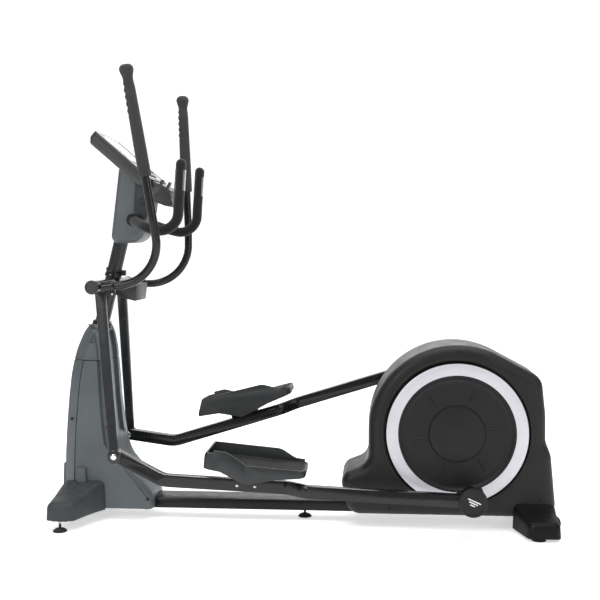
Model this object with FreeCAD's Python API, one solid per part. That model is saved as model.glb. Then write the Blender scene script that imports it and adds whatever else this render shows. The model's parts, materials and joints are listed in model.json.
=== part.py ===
"""Rear-drive elliptical trainer, millimetres, +X towards the rear, +Y to the user's right, +Z up.

The origin is on the floor under the middle of the machine.  The user faces -X, so the user's
left side is -Y.  Every piece that has a mirror twin is made for side = -1 (left) or +1 (right).
"""
import FreeCAD
import Part
import math
import os

V = FreeCAD.Vector

# ---------------------------------------------------------------- overall layout
OVERALL_LENGTH = 1950.0         # front foot to transport wheels
FOOT_SPAN = 600.0               # length of both cross feet along Y
FRONT_X = -OVERALL_LENGTH / 2
REAR_X = OVERALL_LENGTH / 2

# ---------------------------------------------------------------- linkage
PIVOT_X = FRONT_X + 186.0       # swing-arm pivot
PIVOT_Z = 930.0
SWING_RADIUS = 648.0            # pivot to rail joint
CRANK_X = REAR_X - 388.0        # crank axle
CRANK_Z = 373.0
CRANK_RADIUS = 234.0            # half of the stride circle
CRANK_ANGLE = 12.1              # left crank pin, degrees rearward of straight down
RAIL_LENGTH = CRANK_X - PIVOT_X - 20.0      # rail joint to crank pin
RAIL_NOSE = 204.0               # rail joint to the rail's bend
RAIL_NOSE_DROP = 21.4           # nose below the joint-to-pin line, degrees

# ---------------------------------------------------------------- clearances
RUN_FIT = 0.05                  # radial clearance of a shaft in its bush
SEAT = 0.3                      # gap between a cover and what carries it
SIDE_GAP = 0.5                  # flat side clearance between pieces that turn past each other

# ---------------------------------------------------------------- planes across the machine (|y|)
HOUSING_HALF = 150.0            # side face of the rear housing
HOUSING_RIM = 42.0              # rounding between side face and rim
WELL_FLOOR = 127.0              # bottom of the round well in the side face
DISC_FACE = 168.0               # outer face of the crank disc
RAIL_WIDTH = 38.0
RAIL_HEIGHT = 45.0
RAIL_INNER_Y = 230.0            # rail centre in front
RAIL_OUTER_Y = 280.0            # rail centre beside the crank
PIN_JOINT_Y = 228.0             # plane between crank boss and rail bearing
ARM_TOP_Y = 165.0               # lower swing arm at its hub
HANDLE_ROOT_Y = 246.0           # handle tube at its hub
HANDLE_TOP_Y = 322.0
PEDAL_MID_Y = 240.0

# ---------------------------------------------------------------- base
PAD_RADIUS = 27.0
PAD_HEIGHT = 14.0
BEAM_BOTTOM = 40.0
BEAM_HEIGHT = 40.0
BEAM_WIDTH = 120.0
BEAM_WALL = 3.0
BEAM_TOP = BEAM_BOTTOM + BEAM_HEIGHT
CROSS_WIDTH = 60.0              # cross tubes, along X
CROSS_HEIGHT = 40.0
CROSS_WALL = 3.0
FRONT_PAD_X = FRONT_X + 56.0
REAR_PAD_X = REAR_X - 95.0
PAD_YS = (FOOT_SPAN / 2 - 15.0, FOOT_SPAN / 2 - 33.0)    # front and rear levelling feet
MID_PAD_X = -4.0
STEM_RADIUS = 5.0

# ---------------------------------------------------------------- mast and column
MAST_RADIUS = 29.0
MAST_WALL = 3.0
MAST_LEAN = 13.9                # degrees rearward from vertical
MAST_FOOT_Z = 610.0
MAST_TOP_Z = 1330.0
UPRIGHT_X_SIZE = 70.0
UPRIGHT_Y_SIZE = 80.0
PLATE = 10.0
COLUMN_HALF = 112.0             # column half width at its foot
COLUMN_TOP_HALF = 84.0
COLUMN_WALL = 3.5
CAP_SEAM_Z = 628.0

# ---------------------------------------------------------------- rotating parts
AXLE_RADIUS = 12.5
DISC_RADIUS = 269.0
RING_INNER = DISC_RADIUS - 47.0
WELL_RADIUS = max(DISC_RADIUS + 9.0, CRANK_RADIUS + 44.0)      # clears the disc and the crank arm
HUB_CAP_RADIUS = 105.0
PULLEY_RADIUS = 150.0
FLYWHEEL_RADIUS = 128.0
FLYWHEEL_X = CRANK_X - 190.0
FLYWHEEL_Z = CRANK_Z - 30.0
SMALL_PULLEY_RADIUS = 25.0
BELT_THICK = 4.0
BELT_WIDTH = 20.0
BELT_Y = 34.0                   # middle plane of the belt
CAP_RADIUS = 54.0               # round cap over the crank pin

# ---------------------------------------------------------------- sizes: base frame
FRONT_TUBE_BOTTOM = BEAM_BOTTOM
REAR_TUBE_BOTTOM = 22.0
REAR_COVER_BOTTOM = 8.0
COVER_WALL = 3.0
SHAFT_RADIUS = 15.0
HUB_RADIUS = 25.0
HUB_INNER_Y = 62.0
HUB_OUTER_Y = 272.0
BUSH_WALL = 4.0
BUSH_LENGTH = 40.0
COLLAR_RADIUS = 34.0
COLLAR_HEIGHT = 34.0
COLLAR_Z = 962.0
PILLAR_INNER_Y = 88.0
PILLAR_PLATE = 8.0
BEARING_RADIUS = 26.0
FLY_SHAFT = 10.0

# ---------------------------------------------------------------- sizes: covers of the front column
COLUMN_TOP_Z = 776.0
COLUMN_TAPER_Z = 270.0
CORNER_ACROSS = 32.0            # slanted front corners: width over the front face
CORNER_ALONG = 46.0             # and along the side
# front edge of the column, level by level: (level, distance behind the front of the machine)
FRONT_EDGE = [(-10, 12), (110, 12), (COLUMN_TAPER_Z, 17), (380, 21), (575, 38), (675, 61),
              (744, 90), (800, 117)]
GROOVE_Z = 330.0
GROOVE_DEPTH = 16.0
GROOVE_HALF = 36.0
NOSE_THICK = 9.0
NOSE_HALF = 74.0
HOLDER_HALF = 92.0

# ---------------------------------------------------------------- sizes: neck, console and fixed handlebar
NECK_HALF = 80.0
NECK_WALL = 3.0
NECK_CORNER = 24.0
BAR_RADIUS = 16.0
BAR_WALL = 2.5
BAR_EXIT_Z = 1189.0
BAR_Y = 200.0
BAR_TOP_Z = 1396.0
BAR_SLOPE = 0.065               # the upright grips lean back
SENSOR_Z = (1296.0, 1374.0)
FOAM_RADIUS = 20.0
BAR_BENDS = [40, 70, 70]
CONSOLE_HALF = 160.0
CONSOLE_THICK = 52.0
CONSOLE_TILT = 40.8
CONSOLE_TOP = (PIVOT_X - 18.0, 1533.0)
CONSOLE_LENGTH = 290.0
CONSOLE_BEZEL = 14.0
SCREEN = (26.0, 176.0, 118.0)        # start and end down the face, half width
KEYPAD = (190.0, 272.0, 126.0)
RECESS = 3.0

# ---------------------------------------------------------------- sizes: rear housing
HOUSING_RADIUS = WELL_RADIUS + 59.0
HOUSING_WALL = 3.5
HOUSING_BOTTOM = 47.0
HOUSING_SHOULDER = 62.0         # the rear slope leaves the big arc here, degrees above +X
HOUSING_SLOPE = 186.0           # length of that slope
LIP_WIDTH = 11.0
LIP_HEIGHT = 3.0
AXLE_HOLE_RADIUS = 40.0
WHEEL_RADIUS = 31.0
WHEEL_WIDTH = 22.0
WHEEL_Y = 180.0
WHEEL_X = REAR_X - WHEEL_RADIUS
WHEEL_Z = 43.0
WHEEL_BOLT = 5.0
EAR = 4.0

# ---------------------------------------------------------------- sizes: crank, discs, belt and brake
ARM_INNER_Y = 134.0
ARM_THICK = 18.0
BOSS_RADIUS = 30.0
DISC_WALL = 3.5
DISH_DEPTH = 7.0
RING_THICK = 1.8
RING_GAP = 12.0                 # half of the gap at the crank arm, degrees
FLY_Y0 = -66.0
FLY_Y1 = -38.0

# ---------------------------------------------------------------- sizes: swing arms and handles
BOSS_INNER_Y = 250.0
BOSS_OUTER_Y = 270.0
RAIL_BOLT_RADIUS = 8.0
SOCKET_REACH = 58.0
HANDLE_RADIUS = 16.0
HANDLE_WALL = 2.5
GRIP_RADIUS = 23.5
GRIP_START = 385.0
HANDLE_TOP = 798.0              # above the pivot with the arm hanging straight
HANDLE_BACK = 245.0             # rearward of the pivot at the top
HANDLE_BENDS = [60, 162, 300]

# ---------------------------------------------------------------- sizes: foot rails and pedals
NOSE_BEND = 110.0               # radius of the bend, on the tube's centre line
NOSE_LAP = 90.0                 # the bent piece reaches this far along the long run
S_BEND_START = 474.0            # from the rail's bend, along the long run
S_BEND_LENGTH = 76.0
PEDAL_STATION = 325.0           # from the rail's bend to the pedal's lowest edge
PEDAL_PITCH = -3.0              # pedal against the rail's long run, degrees
PEDAL_LENGTH = 372.0
PEDAL_WIDTH = 180.0
PEDAL_WALL = 6.0
PEDAL_DEPTH = 111.0             # top of the inner wall to the lowest edge
PEDAL_RISE = 4.0                # keel of the side walls above the rail's top
DECK_TOP = -51.0
DECK_THICK = 6.0
PAD_THICK = 8.0
BRACKET_TOP = DECK_TOP - DECK_THICK
CAP_THICK = 13.0
BEARING_OUTER = 48.0


# ================================================================ helpers
def rad(degrees):
    return math.radians(degrees)


def box(x0, x1, y0, y1, z0, z1):
    return Part.makeBox(x1 - x0, y1 - y0, z1 - z0, V(x0, y0, z0))


def rod_y(x, z, radius, y0, y1):
    """A cylinder along Y between two planes, given in either order."""
    low = min(y0, y1)
    return Part.makeCylinder(radius, abs(y1 - y0), V(x, low, z), V(0, 1, 0))


def rod(start, end, radius):
    line = end.sub(start)
    return Part.makeCylinder(radius, line.Length, start, line)


def tube_y(x, z, outer, inner, y0, y1):
    low = min(y0, y1)
    high = max(y0, y1)
    return rod_y(x, z, outer, low, high).cut(rod_y(x, z, inner, low - 1, high + 1))


def polygon(points):
    return Part.makePolygon(points + [points[0]])


def prism_y(outline, y0, y1):
    """An outline in X-Z, a wire at y = 0, pushed out between two planes."""
    face = Part.Face(outline)
    low = min(y0, y1)
    face.translate(V(0, low, 0))
    return face.extrude(V(0, abs(y1 - y0), 0))


def side_points(pairs):
    return [V(x, 0, z) for x, z in pairs]


def rounded_edges(points, radii):
    """Straight runs joined by tangent arcs; radii has one entry for each inner point."""
    edges = []
    last = points[0]
    for here, after, radius in zip(points[1:-1], points[2:], radii):
        back = last.sub(here)
        ahead = after.sub(here)
        back.normalize()
        ahead.normalize()
        turn = math.pi - back.getAngle(ahead)
        if radius <= 0 or turn < 1e-4:
            edges.append(Part.makeLine(last, here))
            last = here
            continue
        reach = radius * math.tan(turn / 2)
        start = here + back * reach
        end = here + ahead * reach
        middle = back + ahead
        middle.normalize()
        top = here + middle * (radius / math.cos(turn / 2) - radius)
        if start.distanceToPoint(last) > 1e-3:
            edges.append(Part.makeLine(last, start))
        edges.append(Part.Arc(start, top, end).toShape())
        last = end
    if last.distanceToPoint(points[-1]) > 1e-3:
        edges.append(Part.makeLine(last, points[-1]))
    return edges


def rounded_outline(pairs, radii):
    """A closed X-Z outline whose corners are rounded, one radius for each corner."""
    points = side_points(pairs)
    middle = (points[-1] + points[0]) * 0.5
    loop = [middle] + points + [middle]
    return Part.Wire(rounded_edges(loop, radii))


def bent_rod(points, radii, radius):
    path = Part.Wire(rounded_edges(points, radii))
    line = points[1].sub(points[0])
    section = Part.Wire([Part.makeCircle(radius, points[0], line)])
    return path.makePipeShell([section], True, True)


def bent_tube(points, radii, outer, wall):
    """A round tube; its bore runs past both open ends."""
    first = points[0].sub(points[1])
    first.normalize()
    final = points[-1].sub(points[-2])
    final.normalize()
    bore_points = [points[0] + first] + points[1:-1] + [points[-1] + final]
    return bent_rod(points, radii, outer).cut(bent_rod(bore_points, radii, outer - wall))


def mirrored(shape, side):
    """Shapes are drawn for the right side; the left one is their mirror image."""
    if side > 0:
        return shape
    return shape.mirror(V(0, 0, 0), V(0, 1, 0))


def turned(shape, x, z, degrees):
    """Turned about a Y axis; a positive angle lifts +X towards +Z."""
    copy = shape.copy()
    copy.rotate(V(x, 0, z), V(0, -1, 0), degrees)
    return copy


def side_name(side):
    return "left" if side < 0 else "right"


def save(name, shapes):
    """One file for each node; a list becomes a group of separate solids."""
    if isinstance(shapes, list):
        solids = [solid for shape in shapes for solid in shape.Solids]
    else:
        solids = shapes.Solids
    for solid in solids:
        if not solid.isValid():
            raise ValueError(name + " has an invalid solid")
    shape = solids[0] if len(solids) == 1 else Part.makeCompound(solids)
    shape.exportStep("parts/" + name + ".step")
    print(name, len(solids), round(sum(solid.Volume for solid in solids) / 1000), "cm3")


# ================================================================ linkage places
def crank_pin(side):
    """Centre of the crank pin; the right one is opposite the left one."""
    angle = rad(CRANK_ANGLE if side < 0 else CRANK_ANGLE + 180)
    return (CRANK_X + CRANK_RADIUS * math.sin(angle), CRANK_Z - CRANK_RADIUS * math.cos(angle))


def rail_joint(side):
    """Lower end of the swing arm: on its own circle and one rail length from the pin."""
    pin_x, pin_z = crank_pin(side)
    dx = pin_x - PIVOT_X
    dz = pin_z - PIVOT_Z
    span = math.hypot(dx, dz)
    along = (span ** 2 + SWING_RADIUS ** 2 - RAIL_LENGTH ** 2) / (2 * span)
    across = math.sqrt(SWING_RADIUS ** 2 - along ** 2)
    return (PIVOT_X + (along * dx + across * dz) / span, PIVOT_Z + (along * dz - across * dx) / span)


def swing_angle(side):
    """Degrees by which the swing arm's lower end stands rearward of straight down."""
    x, z = rail_joint(side)
    return math.degrees(math.atan2(x - PIVOT_X, PIVOT_Z - z))


def rail_angle(side):
    """Slope of the line from the rail joint to the crank pin, degrees."""
    x, z = rail_joint(side)
    pin_x, pin_z = crank_pin(side)
    return math.degrees(math.atan2(pin_z - z, pin_x - x))


def mast_x(z):
    """The mast's centre line passes through the swing-arm pivot."""
    return PIVOT_X + (z - PIVOT_Z) * math.tan(rad(MAST_LEAN))


# ================================================================ base frame
def base_beam():
    x0 = FRONT_X + 30.0
    x1 = REAR_PAD_X - CROSS_WIDTH / 2
    half = BEAM_WIDTH / 2
    beam = box(x0, x1, -half, half, BEAM_BOTTOM, BEAM_TOP)
    inside = box(x0 - 1, x1 + 1, -half + BEAM_WALL, half - BEAM_WALL,
                 BEAM_BOTTOM + BEAM_WALL, BEAM_TOP - BEAM_WALL)
    beam = beam.cut(inside)
    stem_hole = Part.makeCylinder(STEM_RADIUS + SEAT, BEAM_HEIGHT, V(MID_PAD_X, 0, BEAM_BOTTOM - 30))
    for x0, y0, x1, y1 in cross_tube_spans():
        beam = beam.cut(box(x0, x1, y0, y1, BEAM_BOTTOM - 1, BEAM_TOP + 1))
    return beam.cut(stem_hole)


def cross_tube_spans():
    """Plan boxes of the two cross tubes: x0, y0, x1, y1."""
    half_x = CROSS_WIDTH / 2
    half_y = FOOT_SPAN / 2 - 6.0
    return [(x - half_x, -half_y, x + half_x, half_y) for x in (FRONT_PAD_X, REAR_PAD_X)]


def cross_tube(index, bottom):
    x0, y0, x1, y1 = cross_tube_spans()[index]
    tube = box(x0, x1, y0, y1, bottom, bottom + CROSS_HEIGHT)
    tube = tube.cut(box(x0 + CROSS_WALL, x1 - CROSS_WALL, y0 - 1, y1 + 1,
                        bottom + CROSS_WALL, bottom + CROSS_HEIGHT - CROSS_WALL))
    for y in (-PAD_YS[index], PAD_YS[index]):
        hole = Part.makeCylinder(STEM_RADIUS + SEAT, 20, V((x0 + x1) / 2, y, bottom - 10))
        tube = tube.cut(hole)
    return tube


def levelling_foot(x, y, tube_bottom):
    """A flared pad on a threaded stem with its lock nut."""
    pad = Part.makeCone(PAD_RADIUS, PAD_RADIUS * 0.7, PAD_HEIGHT - 4, V(x, y, 4))
    pad = pad.fuse(Part.makeCylinder(PAD_RADIUS, 4, V(x, y, 0)))
    stem = Part.makeCylinder(STEM_RADIUS, tube_bottom + 12 - PAD_HEIGHT + 2, V(x, y, PAD_HEIGHT - 2))
    foot = pad.fuse(stem)
    if tube_bottom - PAD_HEIGHT > 8:
        nut = Part.makeCylinder(STEM_RADIUS + 4, 6, V(x, y, tube_bottom - 6))
        foot = foot.fuse(nut)
    return foot.removeSplitter()


def levelling_feet():
    feet = []
    for side in (-1, 1):
        feet.append(levelling_foot(FRONT_PAD_X, side * PAD_YS[0], FRONT_TUBE_BOTTOM))
        feet.append(levelling_foot(REAR_PAD_X, side * PAD_YS[1], REAR_TUBE_BOTTOM))
    feet.append(levelling_foot(MID_PAD_X, 0, BEAM_BOTTOM))
    return feet


def upright_x():
    return mast_x(MAST_FOOT_Z)


def front_upright():
    """Square post on the base beam, closed by a plate that carries the mast."""
    x = upright_x()
    dx = UPRIGHT_X_SIZE / 2
    dy = UPRIGHT_Y_SIZE / 2
    top = MAST_FOOT_Z
    post = box(x - dx, x + dx, -dy, dy, BEAM_TOP, top)
    hollow = box(x - dx + 3, x + dx - 3, -dy + 3, dy - 3, BEAM_TOP - 1, top - PLATE)
    foot = box(x - dx - 25, x + dx + 60, -dy - 8, dy + 8, BEAM_TOP, BEAM_TOP + PLATE)
    return post.fuse(foot).cut(hollow).removeSplitter()


def mast():
    start = V(mast_x(MAST_FOOT_Z - 40), 0, MAST_FOOT_Z - 40)
    end = V(mast_x(MAST_TOP_Z), 0, MAST_TOP_Z)
    tube = rod(start, end, MAST_RADIUS).cut(rod(start, end, MAST_RADIUS - MAST_WALL))
    below = box(FRONT_X, 0, -100, 100, 0, MAST_FOOT_Z)
    cross_bore = rod_y(PIVOT_X, PIVOT_Z, SHAFT_RADIUS + RUN_FIT, -60, 60)
    return tube.cut(below).cut(cross_bore)


def pivot_shaft():
    """One shaft through the mast, with a shoulder against each swing-arm hub."""
    shaft = rod_y(PIVOT_X, PIVOT_Z, SHAFT_RADIUS, -HUB_OUTER_Y + 4, HUB_OUTER_Y - 4)
    for side in (-1, 1):
        shoulder = rod_y(PIVOT_X, PIVOT_Z, HUB_RADIUS - 3, side * (MAST_RADIUS + 1),
                         side * (HUB_INNER_Y - SIDE_GAP))
        shaft = shaft.fuse(shoulder)
    return shaft.removeSplitter()


def mast_collar():
    """Clamp ring round the mast just above the pivot, with a lug at the rear."""
    start = V(mast_x(COLLAR_Z), 0, COLLAR_Z)
    end = V(mast_x(COLLAR_Z + COLLAR_HEIGHT), 0, COLLAR_Z + COLLAR_HEIGHT)
    ring = rod(start, end, COLLAR_RADIUS)
    lug_x = mast_x(COLLAR_Z + COLLAR_HEIGHT / 2)
    lug = box(lug_x + 20, lug_x + 50, -11, 11, COLLAR_Z + 4, COLLAR_Z + COLLAR_HEIGHT - 8)
    return ring.fuse(lug).cut(rod(start, end, MAST_RADIUS + RUN_FIT)).removeSplitter()


def axle_pillar():
    """Two plates on a foot plate; they carry the crank axle and the flywheel."""
    plates = []
    for side in (-1, 1):
        inner = side * PILLAR_INNER_Y
        outer = side * (PILLAR_INNER_Y + PILLAR_PLATE)
        outline = polygon(side_points([
            (FLYWHEEL_X - 60, BEAM_TOP), (CRANK_X + 110, BEAM_TOP),
            (CRANK_X + 48, CRANK_Z + 40), (CRANK_X - 40, CRANK_Z + 48),
            (FLYWHEEL_X - 10, FLYWHEEL_Z + 42), (FLYWHEEL_X - 50, FLYWHEEL_Z + 10)]))
        plate = prism_y(outline, inner, outer)
        plate = plate.cut(rod_y(CRANK_X, CRANK_Z, BEARING_RADIUS, inner - 20, inner + 20))
        plate = plate.cut(rod_y(FLYWHEEL_X, FLYWHEEL_Z, FLY_SHAFT + RUN_FIT, inner - 20, inner + 20))
        plates.append(plate)
    span = PILLAR_INNER_Y + PILLAR_PLATE
    foot = box(FLYWHEEL_X - 60, CRANK_X + 110, -span, span, BEAM_TOP, BEAM_TOP + 8)
    return foot.fuse(plates).removeSplitter()


def crank_bearings():
    """Ball-bearing units in the pillar plates, flanged on the outside."""
    units = []
    for side in (-1, 1):
        inner = side * (PILLAR_INNER_Y - 4)
        outer = side * (PILLAR_INNER_Y + PILLAR_PLATE)
        unit = rod_y(CRANK_X, CRANK_Z, BEARING_RADIUS, inner, outer)
        flange = rod_y(CRANK_X, CRANK_Z, BEARING_RADIUS + 12, outer, outer + side * 6)
        bore = rod_y(CRANK_X, CRANK_Z, AXLE_RADIUS + RUN_FIT, inner - 40, inner + 40)
        units.append(unit.fuse(flange).cut(bore).removeSplitter())
    return units


# ================================================================ covers of the front column
def column_side(inset):
    """Side outline of the column; inset moves every edge inwards."""
    front = FRONT_X
    points = side_points([
        (front + 24, BEAM_BOTTOM + 3), (front + 12, 110), (front + 21, 380), (front + 38, 575),
        (front + 61, 675), (front + 90, 744), (front + 116, COLUMN_TOP_Z),
        (front + 175, COLUMN_TOP_Z - 8), (front + 197, 675), (front + 211, 470),
        (front + 228, 300), (front + 252, 232), (front + 372, 108), (front + 376, BEAM_BOTTOM + 3)])
    radii = [10, 60, 300, 200, 120, 20, 12, 60, 300, 200, 60, 80, 14, 14]
    middle = (points[-1] + points[0]) * 0.5
    wire = Part.Wire(rounded_edges([middle] + points + [middle], radii))
    if inset:
        wire = wire.makeOffset2D(-inset, 0, False, False, True)
    return wire


def column_plan(level, behind, inset):
    """Plan of the column at one level: narrowing upwards, with slanted front corners."""
    rise = max(0.0, level - COLUMN_TAPER_Z) / (COLUMN_TOP_Z + 20 - COLUMN_TAPER_Z)
    half = COLUMN_HALF + (COLUMN_TOP_HALF - COLUMN_HALF) * rise - inset
    slant = math.hypot(CORNER_ALONG, CORNER_ACROSS)
    back = inset * (slant - CORNER_ALONG) / CORNER_ACROSS
    corner = FRONT_X + behind + CORNER_ALONG + back
    ahead = corner - 1.5 * CORNER_ALONG
    narrow = half - 1.5 * CORNER_ACROSS
    return polygon([V(ahead, -narrow, level), V(corner, -half, level), V(0, -half, level),
                    V(0, half, level), V(corner, half, level), V(ahead, narrow, level)])


def column_body(inset):
    """The column's closed form: its side outline within plans that narrow upwards."""
    body = prism_y(column_side(inset), -COLUMN_HALF - 5, COLUMN_HALF + 5)
    plans = [column_plan(level, behind, inset) for level, behind in FRONT_EDGE]
    return body.common(Part.makeLoft(plans, True, True))


def groove(depth, half):
    """Everything outside the column's rear edge moved in by depth, in a strip down the middle."""
    strip = box(FRONT_X + 120, FRONT_X + 420, -half, half, GROOVE_Z, COLUMN_TOP_Z - 30)
    return strip.cut(prism_y(column_side(depth), -half - 1, half + 1))


def side_boss(side):
    """Raised block low on the side panel, above the foot."""
    x = FRONT_X + 72
    outer = COLUMN_HALF + 12
    lower = [(x, 122), (x + 38, 122), (x + 32, 208), (x + 10, 208)]
    sections = []
    for y, grow in ((COLUMN_HALF - 2, 3), (outer, 0)):
        middle_x = x + 20
        middle_z = 165
        ring = [V(px + grow * (1 if px > middle_x else -1), y, pz + grow * (1 if pz > middle_z else -1))
                for px, pz in lower]
        sections.append(polygon(ring))
    return mirrored(Part.makeLoft(sections, True, True), side)


def column_skin():
    """The hollow column, open below, with the groove down its rear."""
    body = column_body(0).cut(groove(GROOVE_DEPTH, GROOVE_HALF))
    for side in (-1, 1):
        body = body.fuse(side_boss(side))
    inside = column_body(COLUMN_WALL).cut(groove(GROOVE_DEPTH + COLUMN_WALL, GROOVE_HALF + COLUMN_WALL))
    below = inside.copy()
    below.translate(V(0, 0, -COLUMN_WALL - 12))
    mouth = box(FRONT_X, 0, -300, 300, 0, BEAM_BOTTOM + 30)
    skin = body.cut(inside).cut(below.common(mouth))
    beam_half = BEAM_WIDTH / 2 + SEAT
    skin = skin.cut(box(FRONT_X - 10, 0, -beam_half, beam_half, 0, BEAM_TOP + PLATE + SEAT))
    x0, y0, x1, y1 = cross_tube_spans()[0]
    skin = skin.cut(box(x0 - SEAT, x1 + SEAT, y0, y1, 0, FRONT_TUBE_BOTTOM + CROSS_HEIGHT + SEAT))
    start = V(mast_x(MAST_FOOT_Z), 0, MAST_FOOT_Z)
    end = V(mast_x(MAST_TOP_Z), 0, MAST_TOP_Z)
    return skin.cut(rod(start, end, MAST_RADIUS + SEAT))


def column_shells(skin):
    """Left and right halves below the cap seam."""
    low = box(FRONT_X - 20, 0, 0, 300, 0, CAP_SEAM_Z)
    right = skin.common(low)
    left = skin.common(mirrored(low, -1))
    return left, right


def column_top_cap(skin):
    """One piece above the seam."""
    return largest(skin.common(box(FRONT_X - 20, 0, -300, 300, CAP_SEAM_Z, 900)))


def largest(shape):
    return max(shape.Solids, key=lambda solid: solid.Volume)


def column_nose_cover():
    """Low cover on the front face, standing a little proud of the column."""
    outer = prism_y(column_side(-NOSE_THICK), -NOSE_HALF, NOSE_HALF)
    inner = prism_y(column_side(-SEAT), -NOSE_HALF - 1, NOSE_HALF + 1)
    band = box(FRONT_X - 20, FRONT_X + 60, -NOSE_HALF, NOSE_HALF, 104, 218)
    return largest(outer.cut(inner).common(band))


def foot_section(x0, x1, z0, z1, y, radius):
    corners = [V(x0, y, z0), V(x0, y, z1), V(x1, y, z1), V(x1, y, z0)]
    start = V((x0 + x1) / 2, y, z0)
    return Part.Wire(rounded_edges([start] + corners + [start], [0, radius, radius, 0]))


def front_foot_cover(side):
    """Moulded sleeve over half of the front cross tube, widening towards the column."""
    near = COLUMN_HALF + SEAT
    far = FOOT_SPAN / 2
    bottom = BEAM_BOTTOM
    wall = COVER_WALL
    outer = Part.makeLoft([
        foot_section(FRONT_X + 12, FRONT_X + 186, bottom, 157, near, 26),
        foot_section(FRONT_X + 6, FRONT_X + 140, bottom, 128, 205, 26),
        foot_section(FRONT_X, FRONT_X + 106, bottom, 106, far, 24)], True, False)
    inner = Part.makeLoft([
        foot_section(FRONT_X + 12 + wall, FRONT_X + 186 - wall, bottom - 5, 157 - wall, near - 1, 23),
        foot_section(FRONT_X + 6 + wall, FRONT_X + 140 - wall, bottom - 5, 128 - wall, 205, 23),
        foot_section(FRONT_X + wall, FRONT_X + 106 - wall, bottom - 5, 106 - wall, far - wall, 21)],
        True, False)
    boss_room = box(FRONT_X + 66, FRONT_X + 116, COLUMN_HALF - 2, COLUMN_HALF + 13, 114, 220)
    return mirrored(largest(outer.cut(inner).cut(boss_room)), side)


def accessory_holder():
    """Bottle tray behind the mast, fixed by a block against it."""
    top = PIVOT_Z + 6
    outline = polygon(side_points([
        (PIVOT_X + 34, top - 38), (PIVOT_X + 34, top), (PIVOT_X + 128, top),
        (PIVOT_X + 120, top - 66), (PIVOT_X + 84, top - 57)]))
    body = prism_y(outline, -HOLDER_HALF, HOLDER_HALF)
    body = body.fuse(box(PIVOT_X + 10, PIVOT_X + 36, -MAST_RADIUS + 8, MAST_RADIUS - 8, top - 30, top))
    well = Part.makeCone(33, 36, 44, V(PIVOT_X + 82, 0, top - 36))
    for y in (-52, 52):
        cup = well.copy()
        cup.translate(V(0, y, 0))
        body = body.cut(cup)
    body = body.cut(mast_clearance())
    return largest(body)


def mast_clearance():
    start = V(mast_x(700), 0, 700)
    end = V(mast_x(1400), 0, 1400)
    return rod(start, end, MAST_RADIUS + SEAT)


# ================================================================ neck, console and fixed handlebar


def bar_exit_x():
    """The handlebar's cross run lies against the rear of the mast."""
    lean = rad(MAST_LEAN)
    behind = MAST_RADIUS / math.cos(lean) + BAR_RADIUS / math.cos(lean) + SEAT
    return PIVOT_X + (BAR_EXIT_Z - PIVOT_Z) * math.tan(lean) + behind


def neck_section(z, front, rear, inset):
    half = NECK_HALF - inset
    points = [V(front + inset, -half, z), V(front + inset, half, z),
              V(rear - inset, half, z), V(rear - inset, -half, z)]
    start = (points[-1] + points[0]) * 0.5
    return Part.Wire(rounded_edges([start] + points + [start], [NECK_CORNER - inset] * 4))


def neck_form(inset):
    """Shroud round the top of the mast: rounded sections that lean back, with a shaped foot."""
    body = Part.makeLoft([neck_section(1080, PIVOT_X + 14, PIVOT_X + 146.3, inset),
                          neck_section(1460, PIVOT_X + 60, PIVOT_X + 222.8, inset)], True, True)
    x = PIVOT_X
    keep = rounded_outline([(x - 39, 1480), (x - 39, 1166), (x + 41, 1094), (x + 113, 1094),
                            (x + 229, 1197), (x + 229, 1480)], [0, 0, 14, 22, 0, 0])
    region = prism_y(keep, -NECK_HALF - 20, NECK_HALF + 20)
    region.translate(V(0, 0, inset))
    return body.common(region)


def neck_shells():
    """Two shells that meet on the middle plane, with holes for the mast and the handlebar."""
    above = console_place(box(-200, 500, -200, 200, -CONSOLE_THICK - SEAT, 300))
    outside = neck_form(0).cut(above).common(box(PIVOT_X - 111, PIVOT_X + 789, 0, 200, 900, 1500))
    skin = outside.cut(neck_form(NECK_WALL)).cut(mast_clearance())
    skin = skin.cut(rod_y(bar_exit_x(), BAR_EXIT_Z, BAR_RADIUS + SEAT, -100, 100))
    right = largest(skin.cut(bar_cutter()))
    return mirrored(right, -1), right


def bar_upright(z):
    """Centre of the upright grip at a height."""
    return V(PIVOT_X + 311 + (z - 1129) * BAR_SLOPE, BAR_Y, z)


def bar_points():
    """Centre line of the right half of the fixed handlebar, from the middle outwards."""
    return [V(bar_exit_x(), 0, BAR_EXIT_Z), V(bar_exit_x(), 96, BAR_EXIT_Z),
            V(PIVOT_X + 189, BAR_Y, 1156), bar_upright(1129), bar_upright(BAR_TOP_Z)]


def bar_cutter():
    return bent_rod(bar_points(), BAR_BENDS, BAR_RADIUS + SEAT)


def fixed_handlebar():
    """One bent tube through the neck; both ends stand up as grips."""
    right = bar_points()
    left = [V(p.x, -p.y, p.z) for p in reversed(right[1:])]
    points = left + right[1:]
    bends = list(reversed(BAR_BENDS)) + BAR_BENDS
    return bent_tube(points, bends, BAR_RADIUS, BAR_WALL)


def foam_points():
    """The foam covers the bar from just outside the neck to past its end."""
    points = bar_points()
    outward = points[2].sub(points[1])
    outward.normalize()
    start = points[1] + outward * 26
    return [start] + points[2:]


def handlebar_foam(side):
    points = foam_points()
    sleeve = bent_rod(points, BAR_BENDS[1:], FOAM_RADIUS)
    tip = points[-1]
    sleeve = sleeve.fuse(Part.makeSphere(FOAM_RADIUS, tip)).removeSplitter()
    sleeve = sleeve.cut(bent_rod(bar_points(), BAR_BENDS, BAR_RADIUS + RUN_FIT))
    sleeve = largest(sleeve)
    for pad in sensor_seats(SEAT):
        sleeve = sleeve.cut(pad)
    return mirrored(largest(sleeve), side)


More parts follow.
